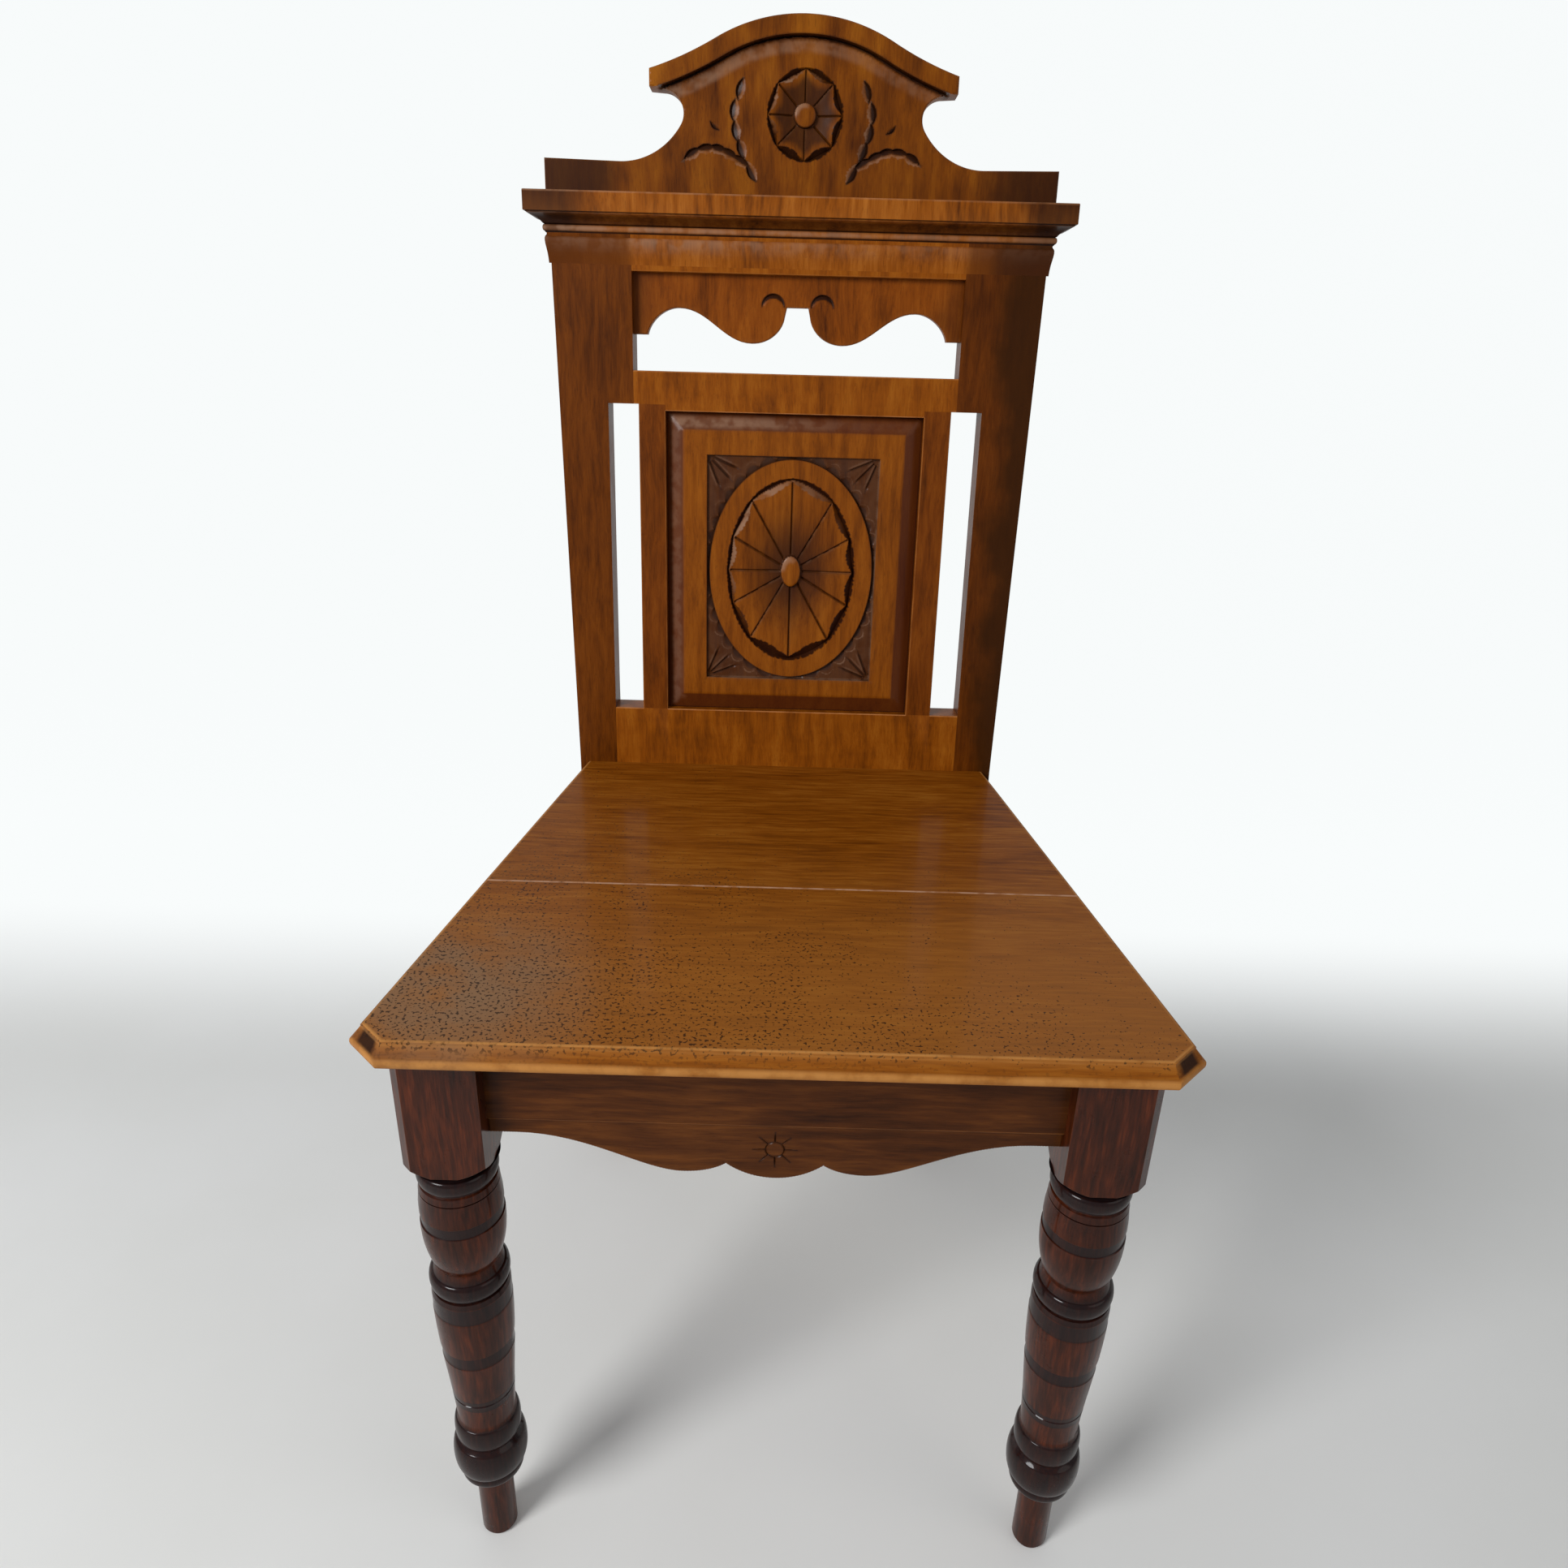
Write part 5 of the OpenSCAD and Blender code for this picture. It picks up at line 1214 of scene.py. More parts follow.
def apronSide():
    footOfEnd = apron["top"] - apron["easeUp"][0][1] * apron["height"]
    line = [(apron["half"], apron["top"]), (apron["half"], footOfEnd)]
    for part in ("easeUp", "cusp", "lobe"):
        line += bend(*hungLine(apron[part], apron["half"], apron["height"], apron["top"]))
    return line[:-1] + [(0.3, apron["top"] - apron["height"])]


apronOutline = list(reversed(mirrored(apronSide())))
starMiddle = (0, apron["top"] - apron["starShare"] * apron["height"])


def rayHalf(taper):
    return apron["cutHalf"] * (0.4 + 0.6 * taper)


def apronDepth(points):
    x, z, angle, r = around(points, starMiddle)
    step = 2 * pi / apron["rays"]
    beside = r * np.abs(np.sin(angle - np.round(angle / step) * step))
    taper = unit((apron["ray"] - r) / apron["rayTip"])
    rays = unit(1 - beside / rayHalf(taper)) * taper * (r > apron["ring"])
    ring = unit(1 - np.abs(r - apron["ring"]) / apron["cutHalf"])
    rounded = arrisDepth(points, apronOutline, apron["arris"]) * (points[:, 1] < apron["top"] - 1)
    return rounded + apron["cutDepth"] * np.maximum(rays, ring)


def apronLines():
    lines = []
    cx, cz = starMiddle
    for grow, sort in ((-apron["cutHalf"], "ridge"), (0, "valley"), (apron["cutHalf"], "ridge")):
        r = apron["ring"] + grow
        lines.append(([(cx + r * cos(t), cz + r * sin(t)) for t in np.arange(40) * 2 * pi / 40], True, sort))
    for i in range(apron["rays"]):
        t = 2 * pi * i / apron["rays"]
        for side, sort in ((0, "valley"), (1, "ridge"), (-1, "ridge")):
            line = []
            for r in (apron["ring"] + apron["cutHalf"], apron["ray"] - apron["rayTip"], apron["ray"]):
                offset = side * rayHalf(min(1, (apron["ray"] - r) / apron["rayTip"]))
                line.append((cx + r * cos(t) - offset * sin(t), cz + r * sin(t) + offset * cos(t)))
            lines.append((line, False, sort))
    return lines


carvedBoard("front_apron_cut", {
    "outline": apronOutline, "lines": apronLines(), "depthAt": apronDepth, "valleyDarkReach": 0.9,
    "rear": (apronHigh.y - apronLow.y) / mm, "arris": True, "insets": (0.25, 0.8), "fine": 0.8,
    "fineWhere": lambda points: np.hypot(points[:, 0], points[:, 1] - starMiddle[1]) < apron["ray"] + 1,
}, Matrix.Translation((0, apronLow.y, 0)) @ Matrix.Scale(mm, 4), "railMahogany", ["front_apron"])


# Plain joinery: a merged copy of the CAD node, with its free arrises eased and rubbed. An arris
# where another piece lies against it is a joint line, and stays sharp. The cuts split a long
# arris where a neighbour starts or ends.
neighbours = {name: BVHTree.FromPolygons([v.co for v in node.data.vertices],
                                         [tuple(p.vertices) for p in node.data.polygons])
              for name, node in nodes.items()}


def insideAny(point, apart):
    for name, tree in neighbours.items():
        if name != apart:
            place, normal, *_ = tree.find_nearest(point, 3 * mm)
            if place is not None and (point - place).dot(normal) < 0:
                return True
    return False


def mergedCopy(node):
    bm = bmesh.new()
    bm.from_mesh(nodes[node].data)
    bmesh.ops.remove_doubles(bm, verts=bm.verts, dist=1e-6)
    bmesh.ops.dissolve_limit(bm, angle_limit=radians(0.6), verts=bm.verts, edges=bm.edges)
    return bm


def sliced(bm, place, cuts):
    for axis, value in cuts:
        normal = Vector((0, 0, 0))
        normal[axis] = 1
        middle = place @ (normal * value)
        bmesh.ops.bisect_plane(bm, geom=bm.verts[:] + bm.edges[:] + bm.faces[:], dist=1e-6, plane_co=middle,
                               plane_no=(place.to_3x3() @ normal).normalized())


def isCovered(edge, node):
    one, two = (face.normal for face in edge.link_faces)
    for share in (0.2, 0.5, 0.8):
        on = edge.verts[0].co.lerp(edge.verts[1].co, share)
        for out, into in ((one, two), (two, one)):
            if insideAny(on + out * 0.3 * mm - into * 0.5 * mm, node):
                return True
    return False


def easedArrises(bm, node, width):
    free = [edge for edge in bm.edges
            if len(edge.link_faces) == 2 and edge.calc_face_angle_signed(0) >= radians(28)
            and not isCovered(edge, node)]
    wear = bm.faces.layers.float.new("wear")
    made = bmesh.ops.bevel(bm, geom=free, offset=width * mm, offset_type="OFFSET", segments=2, profile=0.5,
                           affect="EDGES", clamp_overlap=True)
    for face in made["faces"]:
        face[wear] = 1.0


def softened(node, name, finish, width=0.8, cuts=(), place=None):
    bm = mergedCopy(node)
    sliced(bm, place or Matrix.Scale(mm, 4), cuts)
    easedArrises(bm, node, width)
    shaded(bm, 50)
    return steadied(dressed(name, toMesh(bm, name), finish, [node]))


muntinTenon = 12.0
levels = {"bottomRail": railTop, "panelHead": middleFoot, "slotHead": muntinHigh[2] - muntinTenon,
          "openingHead": frieze["top"], "head": backBox("cornice")[0][2]}
uprightCuts = [(2, levels[key]) for key in ("bottomRail", "slotHead", "openingHead", "head")]
# Each post takes its side's copy of the post walnut; the right one is painted darker as shade
for side in ("left", "right"):
    softened("back_post_" + side, "back_post_%s_stick" % side, side + "PostWalnutAsLit", 1.0,
             uprightCuts, backPlace)
    softened("muntin_" + side, "muntin_%s_stick" % side, "muntinWalnut", 0.8,
             [(2, levels["bottomRail"]), (2, levels["panelHead"]), (2, levels["slotHead"])], backPlace)
    softened("side_rail_" + side, "side_rail_%s_board" % side, "sideRailMahogany", 1.0)
acrossCuts = [(0, x) for x in (-muntinHigh[0], -muntinLow[0], muntinLow[0], muntinHigh[0])]
for node in ("back_bottom_rail", "back_middle_rail"):
    softened(node, node + "_board", "railWalnut", 0.8, acrossCuts, backPlace)
softened("back_top_rail", "back_top_rail_board", "headRailWalnut", 0.8)
for node in ("front_rail", "rear_seat_rail"):
    softened(node, node + "_board", "railMahogany", 1.0)
for end in ("front", "rear"):
    for side in ("left", "right"):
        node = "%s_corner_block_%s" % (end, side)
        softened(node, node + "_pine", "blockPine", 1.0)
print("joinery softened")


# Cornice: one profile round its two ends and its front, mitred at the corners. "cove" and "bead"
# hold shares of the overhang and of the height.
corniceLow, corniceHigh = backBox("cornice")
cornice = {
    "height": corniceHigh[2] - corniceLow[2], "out": -corniceLow[1], "halfW": corniceHigh[0],
    "headHalf": 181.3, "rear": corniceHigh[1], "arris": 0.7, "bandShare": 0.48, "stepShare": 0.92,
    "cove": [(0.88, 0.44), (0.60, 0.40), (0.42, 0.33), (0.27, 0.22)], "bead": (0.20, 0.03, 0.21, 0.08),
    "foot": 0.18, "leftHighlight": 0.95, "rightHighlight": 0.35,
}
headPlace = backPlace @ Matrix.Translation((0, 0, levels["head"]))


# Points of the profile: share of the overhang, height, then how rubbed, how much painted highlight and how
# much painted shade
def corniceProfile():
    h, r = cornice["height"], cornice["arris"]
    bandFoot, inset = cornice["bandShare"] * h, r / cornice["out"]
    line = [(1 - inset, h, 0.6, 0.2, 0), (1 - 0.3 * inset, h - 0.3 * r, 1, 0.5, 0), (1, h - r, 0.6, 0.6, 0),
            (1, h - 2.2 * r, 0, 0, 0), (1, bandFoot + 0.4 * r, 0.3, 0, 0),
            (1 - 0.3 * inset, bandFoot, 0.4, 0, 0.6), (cornice["stepShare"], bandFoot, 0, 0, 1)]
    cove = bend(*cornice["cove"])
    for i, (x, y) in enumerate(cove):
        dark = 1 if i == len(cove) - 1 else 0.12 * min(i, 6)
        line.append((x, y * h, 0, max(0, 0.3 - i * 0.1), dark))
    high, low, middle, swell = cornice["bead"]
    for t in np.linspace(0, pi, 13):
        line.append((middle + swell * sin(t), h * (high + (low - high) * (1 - cos(t)) / 2), 0.5 * sin(t),
                     sin(t) ** 2, 1 - sin(t)))
    return line + [(cornice["foot"], 0, 0, 0, 1)]


def makeCornice():
    bm = bmesh.new()
    wear, bloom, hollow = (bm.verts.layers.float.new(key) for key in ("wear", "bloom", "hollow"))
    sideOut = cornice["halfW"] - cornice["headHalf"]
    rings = []
    for share, v, rub, highlight, dark in corniceProfile():
        x, y = cornice["headHalf"] + share * sideOut, -share * cornice["out"]
        spots = ((-x, cornice["rear"]), (-x, y), (x, y), (x, cornice["rear"]))
        ring = [bm.verts.new((*spot, v)) for spot in spots]
        for vert in ring:
            vert[wear], vert[hollow] = rub, dark
            # The painted highlight is stronger at the left end, towards the light
            vert[bloom] = highlight * cornice["leftHighlight" if vert.co.x < 0 else "rightHighlight"]
        rings.append(ring)
    skinned(bm, rings)
    bmesh.ops.remove_doubles(bm, verts=bm.verts, dist=1e-4)
    bmesh.ops.recalc_face_normals(bm, faces=bm.faces)
    bmesh.ops.transform(bm, matrix=headPlace, verts=bm.verts)
    shaded(bm, 34)
    mesh = toMesh(bm, "cornice_moulded")
    return steadied(dressed("cornice_moulded", mesh, "corniceWalnut", ["cornice"]))


makeCornice()


# Under the bead the posts and the top rail swell out a little to meet the cornice. Over a post
# the swell has the post's own darker colour.
neck = {
    # height above the cornice's foot, distance proud of the face, and how much painted highlight
    "profile": [(-0.05, 0.7, 0), (-1.2, 0.8, 0), (-1.7, 1.5, 0.2), (-2.5, 2.5, 0.7), (-3.6, 3.1, 1),
                (-5.2, 3.2, 1), (-7.4, 2.8, 0.8), (-10, 2.0, 0.4), (-13, 1.1, 0.1), (-16.5, 0.4, 0),
                (-20, 0.06, 0)],
    "inside": 1.0, "highlight": 0.75, "sideShare": 0.5, "joint": -1.5, "columns": 61, "inset": 3.0,
    "leftward": (0.35, 100.0, 240.0),
    "postFrom": 118.0, "postFade": 10.0, "postStain": 0.85, "postHighlight": 0.4,
    "rightShadeFrom": 134.0, "rightShadeFade": 16.0, "dark": 0.62,
}


def postEdge(height):
    turned = backPlace.inverted()
    points = np.array([turned @ v.co for v in nodes["back_post_right"].data.vertices])
    foot = points[np.abs(points[:, 2]) < 30]
    head = points[points[:, 2] > levels["head"] - 30]
    (x0, z0), (x1, z1) = (part[np.argmax(part[:, 0])][[0, 2]] for part in (foot, head))
    return x0 + (x1 - x0) * (height - z0) / (z1 - z0)


def makeNeck():
    bm = bmesh.new()
    bloom, hollow, stain = (bm.verts.layers.float.new(key) for key in ("bloom", "hollow", "stain"))
    rings = []
    for v, out, highlight in neck["profile"]:
        half = postEdge(levels["head"] + v)
        side = half + out * neck["sideShare"]
        reach = half - neck["inset"]
        front = [(x, -out) for x in np.linspace(-reach, reach, neck["columns"])]
        spots = [(-side, neck["inside"]), (-side, -out)] + front + [(side, -out), (side, neck["inside"])]
        ring = [bm.verts.new((*spot, v)) for spot in spots]
        for vert in ring:
            x = vert.co.x
            # Over a post the post's own colour; the painted highlight fainter there and palest at the left;
            # painted shade on the right end; and black above neck['joint']: the joint line and the bead's
            # painted shadow
            onPost = float(ease((abs(x) - neck["postFrom"]) / neck["postFade"]))
            pale = neck["highlight"] * float(leftward(x, *neck["leftward"]))
            rightShade = neck["dark"] * float(ease((x - neck["rightShadeFrom"]) / neck["rightShadeFade"]))
            vert[bloom] = highlight * pale * (1 - (1 - neck["postHighlight"]) * onPost)
            vert[hollow] = 1.0 if v > neck["joint"] else rightShade
            vert[stain] = neck["postStain"] * onPost
        rings.append(ring)
    skinned(bm, rings)
    bmesh.ops.recalc_face_normals(bm, faces=bm.faces)
    bmesh.ops.transform(bm, matrix=headPlace, verts=bm.verts)
    shaded(bm, 40)
    return steadied(dressed("cornice_neck", toMesh(bm, "cornice_neck"), "corniceWalnut"))


makeNeck()


# Seat: its moulded edge runs round the front and the sides; the board is sawn in two at the joint
seatLow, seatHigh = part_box("seat_front_board")
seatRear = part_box("seat_rear_board")
seat = {
    "frontHalf": seatHigh.x / mm, "backHalf": 173.0, "cut": 20.0, "front": seatLow.y / mm,
    "back": backCorner.y / mm, "seam": seatHigh.y / mm, "bottom": seatLow.z / mm, "top": seatHigh.z / mm,
    "tongueHalf": 142.1, "tongueBack": seatRear[1].y / mm, "seamGap": 0.25, "seamArris": 0.9,
    "seamHighlight": 0.75,
    # distance in from the lower edge, height in the board, how rubbed, and how dark on the cut corners
    "edge": [(1.8, 0.0, 0, 0), (0.9, 0.3, 0.3, 0), (0.25, 1.3, 0.8, 0), (0.0, 3.0, 1, 0), (0.25, 4.7, 1, 0),
             (0.9, 5.7, 0.6, 0), (1.5, 6.0, 0.3, 0.6), (2.3, 6.3, 0, 0.9), (2.7, 6.9, 0, 1),
             (5.7, 11.4, 0, 1), (6.1, 12.0, 0.3, 0.9), (6.2, 13.1, 0.1, 0.5), (6.9, 13.35, 0.5, 0),
             (7.15, 13.8, 1, 0), (7.8, 14.0, 0.9, 0), (8.8, 14.0, 0, 0)],
    "cutMarks": [(0.12, 0.2), (0.25, 1), (0.5, 1), (0.75, 1), (0.88, 0.2)],
}


def seatRing(inset, height):
    f, b, c = seat["frontHalf"], seat["backHalf"], seat["cut"]
    z = seat["bottom"] + height
    rear = seat["back"] - (seat["top"] - z) * np.tan(radians(rake))
    corners = [(f - c, seat["front"]), (f, seat["front"] + c), (b, seat["back"])]
    corner, side, end = (np.array(p) for p in corners)

    def shiftedLine(p, q):
        run = (q - p) / np.linalg.norm(q - p)
        return p + np.array([-run[1], run[0]]) * inset, run

    def cross(one, two):
        (p, u), (q, v) = one, two
        t = ((q - p)[0] * v[1] - (q - p)[1] * v[0]) / (u[0] * v[1] - u[1] * v[0])
        return p + u * t

    front = (np.array([0, seat["front"] + inset]), np.array([1.0, 0.0]))
    cutLine, sideLine = shiftedLine(corner, side), shiftedLine(side, end)
    back = (np.array([0, rear]), np.array([1.0, 0.0]))
    first, last = cross(front, cutLine), cross(cutLine, sideLine)
    right = ([(first, 0)] + [(first + (last - first) * share, dark) for share, dark in seat["cutMarks"]]
             + [(last, 0), (cross(sideLine, back), None), ((seat["tongueHalf"], rear), None),
                ((seat["tongueHalf"], seat["tongueBack"]), None)])
    ring = [(p[0], p[1], z, dark) for p, dark in right]
    return ring + [(-x, y, z, dark) for x, y, z, dark in reversed(ring)]


def makeSeat():
    bm = bmesh.new()
    wear, hollow = (bm.verts.layers.float.new(key) for key in ("wear", "hollow"))
    rings = []
    for inset, height, rub, dark in reversed(seat["edge"]):
        ring = []
        for x, y, z, share in seatRing(inset, height):
            vert = bm.verts.new((x, y, z))
            vert[wear] = rub
            vert[hollow] = dark * (share or 0)
            ring.append(vert)
        rings.append(ring)
    skinned(bm, rings)
    bmesh.ops.recalc_face_normals(bm, faces=bm.faces)
    return bm


def sawnHalf(name, node, way):
    bm = makeSeat()
    saw = (0, seat["seam"] + way * seat["seamGap"] / 2, 0)
    cut = bmesh.ops.bisect_plane(bm, geom=bm.verts[:] + bm.edges[:] + bm.faces[:], dist=1e-5, plane_co=saw,
                                 plane_no=(0, way, 0), clear_inner=True)
    bmesh.ops.contextual_create(bm, geom=[e for e in cut["geom_cut"] if isinstance(e, bmesh.types.BMEdge)])
    bmesh.ops.recalc_face_normals(bm, faces=bm.faces)
    # A painted highlight along the eased arrises of the seam
    seamArris = [e for e in bm.edges
                 if all(abs(v.co.y - seat["seam"]) < 1 and v.co.z > seat["top"] - 0.01 for v in e.verts)]
    bloom = bm.faces.layers.float.new("bloom")
    made = bmesh.ops.bevel(bm, geom=seamArris, offset=seat["seamArris"], offset_type="OFFSET", segments=2,
                           profile=0.5, affect="EDGES")
    for face in made["faces"]:
        face[bloom] = seat["seamHighlight"]
    bmesh.ops.transform(bm, matrix=Matrix.Scale(mm, 4), verts=bm.verts)
    shaded(bm, 34)
    return steadied(dressed(name, toMesh(bm, name), "seatWalnut", [node]))


sawnHalf("seat_front_board_moulded", "seat_front_board", -1)
sawnHalf("seat_rear_board_moulded", "seat_rear_board", 1)
print("seat and cornice moulded")


# Front legs: the turning is spun from one line of heights and radii by a geometry tree
leg = {
    "turned": 345.0, "overlap": 0.3, "radius": 26.2, "footRadius": 12.2, "ribs": 96,
    # Shares of the turned length and of the radius. A stretch has its points and how dark it is.
    # A bead has its foot, its head, its least radius and its swell. A band has its foot, its
    # greatest radius and its height.
    "foot": ([(0, 0.88), (0.008, 1), (0.176, 1), (0.178, 1.08)], 0.0),
    "cup": ([(0.182, 0.62), (0.186, 0.70)], 1.0),
    "collarBeads": [(0.188, 0.209, 0.77, 0.05), (0.212, 0.286, 0.83, 0.12), (0.292, 0.345, 0.77, 0.075)],
    "vase": ([(0.351, 0.735), (0.440, 0.76), (0.550, 0.955), (0.655, 0.955)], 0.0),
    "shoulder": ([(0.690, 0.945), (0.700, 0.915), (0.701, 0.86)], 0.7),
    "neckBead": [(0.703, 0.741, 0.85, 0.11)],
    "bowl": ([(0.758, 0.775), (0.778, 0.87), (0.806, 0.985), (0.850, 0.985)], 0.0),
    "bowlHead": ([(0.905, 0.965), (0.932, 0.93), (0.948, 0.905), (0.950, 0.86)], 0.2),
    "blockBead": [(0.953, 0.984, 0.85, 0.09)],
    "neck": ([(0.986, 0.86), (0.994, 0.86), (0.995, 1)], 1.0),
    "beadDark": 0.85, "lines": [0.420, 0.932], "lineDepth": 0.9,
    "bands": [(0.530, 0.875, 0.030), (0.652, 0.945, 0.036), (0.862, 0.955, 0.022), (0.404, 1.2, 0.028)],
    "bandDark": 0.8, "bandFade": 0.25,
}


def legProfile():
    tall, radius = leg["turned"], leg["radius"]

    def stretch(key, curved=0):
        shares, dark = leg[key]
        width = leg["footRadius"] if key == "foot" else radius
        points = [(r * width, z * tall) for z, r in shares]
        return [(r, z, dark) for r, z in (bend(*points, steps=curved) if curved else points)]

    def beads(key):
        return [((least + swell * sin(t)) * radius, (foot + (head - foot) * (1 - cos(t)) / 2) * tall,
                 leg["beadDark"]) for foot, head, least, swell in leg[key] for t in np.linspace(0, pi, 15)]

    line = (stretch("foot") + stretch("cup") + beads("collarBeads") + stretch("vase", 40)
            + stretch("shoulder") + beads("neckBead") + stretch("bowl", 24) + stretch("bowlHead")
            + beads("blockBead") + stretch("neck"))
    cuts = [share * tall for share in leg["lines"]]
    bandEnds = [z for foot, share, high in leg["bands"] for z in (foot * tall, (foot + high) * tall)]
    d, fade = leg["lineDepth"], leg["bandFade"]
    fresh = []
    for (r0, z0, dark0), (r1, z1, dark1) in zip(line, line[1:]):
        fresh.append((r0, z0, dark0))
        for z in cuts:
            if z0 <= z < z1:
                at = np.interp(z, [z0, z1], [r0, r1])
                fresh += [(at, z - d, dark0), (at - d, z, 1), (at, z + d, dark0)]
        for z in bandEnds:
            if z0 <= z < z1:
                at = np.interp(z, [z0, z1], [r0, r1])
                fresh += [(at, z - fade, dark0), (at, z + fade, dark0)]
    fresh.append(line[-1])
    fresh.sort(key=lambda p: p[1])
    out = []
    for r, z, dark in fresh:
        for foot, share, high in leg["bands"]:
            if foot * tall <= z <= (foot + high) * tall:
                r, dark = min(r, share * radius), leg["bandDark"]
        out.append((r, z, dark))
    return out


def finished(tree, node, material):
    whole = addNode(tree, "GeometryNodeRealizeInstances", {0: node.outputs[0]}).outputs[0]
    return addNode(tree, "GeometryNodeSetMaterial", {"Geometry": whole, "Material": material}).outputs[0]


def makeTurningTree():
    tree, given, put = newGroup("turnedLeg", "GeometryNodeTree", [
        ("Geometry", "shape", None), ("Ribs", "count", 96), ("Finish", "material", None),
    ], [("Geometry", "shape")])
    out = given.outputs
    path = addNode(tree, "GeometryNodeMeshToCurve", {"Mesh": out["Geometry"]})
    size = addNode(tree, "GeometryNodeInputNamedAttribute", {"Name": "radius"}, data_type="FLOAT")
    circle = addNode(tree, "GeometryNodeCurvePrimitiveCircle", {"Resolution": out["Ribs"], "Radius": 1.0})
    spun = addNode(tree, "GeometryNodeCurveToMesh", {
        "Curve": path.outputs[0], "Profile Curve": circle.outputs[0], "Scale": size.outputs[0],
        "Fill Caps": True})
    smooth = addNode(tree, "GeometryNodeSetShadeSmooth", {"Geometry": spun.outputs[0]})
    tree.links.new(finished(tree, smooth, out["Finish"]), put.inputs[0])
    return tree


def builtBy(tree, source, values):
    modifier = source.modifiers.new("built", "NODES")
    modifier.node_group = tree
    for item in tree.interface.items_tree:
        if item.in_out == "INPUT" and item.name in values:
            modifier[item.identifier] = values[item.name]
    bpy.context.scene.collection.objects.link(source)
    bpy.context.view_layer.update()
    evaluated = source.evaluated_get(bpy.context.evaluated_depsgraph_get())
    mesh = bpy.data.meshes.new_from_object(evaluated)
    source.modifiers.remove(modifier)
    bpy.data.objects.remove(source)
    return mesh


turningTree = makeTurningTree()


# The turning's line stands on end, each point a hair aside so that none lies on another
def spunLeg(middle):
    profile = legProfile()
    mesh = bpy.data.meshes.new("legLine")
    mesh.from_pydata([(middle.x, middle.y, z * mm + i * 1e-7) for i, (r, z, dark) in enumerate(profile)],
                     [(i, i + 1) for i in range(len(profile) - 1)], [])
    for label, values in (("radius", [r * mm for r, z, dark in profile]),
                          ("hollow", [dark for r, z, dark in profile])):
        mesh.attributes.new(label, "FLOAT", "POINT").data.foreach_set("value", values)
    return builtBy(turningTree, bpy.data.objects.new("legLine", mesh),
                   {"Ribs": leg["ribs"], "Finish": finishes["legMahogany"]})


def makeLeg(node):
    name = node + "_turned"
    low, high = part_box(node)
    turned = spunLeg((low + high) / 2)
    block = mergedCopy(node)
    cut = bmesh.ops.bisect_plane(block, geom=block.verts[:] + block.edges[:] + block.faces[:], dist=1e-6,
                                 plane_co=(0, 0, (leg["turned"] - leg["overlap"]) * mm), plane_no=(0, 0, 1),
                                 clear_inner=True)
    bmesh.ops.holes_fill(block, edges=[e for e in cut["geom_cut"] if isinstance(e, bmesh.types.BMEdge)])
    bmesh.ops.recalc_face_normals(block, faces=block.faces)
    easedArrises(block, node, 1.0)
    shaded(block, 50)
    bm = bmesh.new()
    bm.from_mesh(turned)
    shaded(bm, 34)
    bm.from_mesh(toMesh(block, "legBlock"))
    mesh = toMesh(bm, name)
    print(node, len(mesh.polygons), "faces")
    return steadied(dressed(name, mesh, "legMahogany", [node]))


for node in ("front_leg_left", "front_leg_right"):
    makeLeg(node)


# Screws: slotted countersunk heads, put where the CAD screws are
screw = {"headHeight": 2.4 * mm, "slotWide": 0.8 * mm, "slotDeep": 0.9 * mm, "ribs": 32}


def islands(node):
    bm = mergedCopy(node)
    seen = set()
    out = []
    for first in bm.verts:
        if first in seen:
            continue
        seen.add(first)
        found = [first]
        for vert in found:
            for edge in vert.link_edges:
                other = edge.other_vert(vert)
                if other not in seen:
                    seen.add(other)
                    found.append(other)
        out.append(np.array([v.co for v in found]))
    bm.free()
    return out


# Where a screw's head is and which way it points, then its length and its two radii
def screwFacts(points):
    sameSpot = 1e-5
    low, high = points.min(0), points.max(0)
    axis = int(np.argmax(high - low))
    others = [i for i in range(3) if i != axis]
    middle = (low + high) / 2
    spread = np.linalg.norm((points - middle)[:, others], axis=1)
    lowEnd, highEnd = points[:, axis] < low[axis] + sameSpot, points[:, axis] > high[axis] - sameSpot
    atLow = spread[lowEnd].max() > spread[highEnd].max()
    way = np.zeros(3)
    way[axis] = 1 if atLow else -1
    head = middle.copy()
    head[axis] = low[axis] if atLow else high[axis]
    return head, way, high[axis] - low[axis], spread.max(), spread[spread > sameSpot].min()


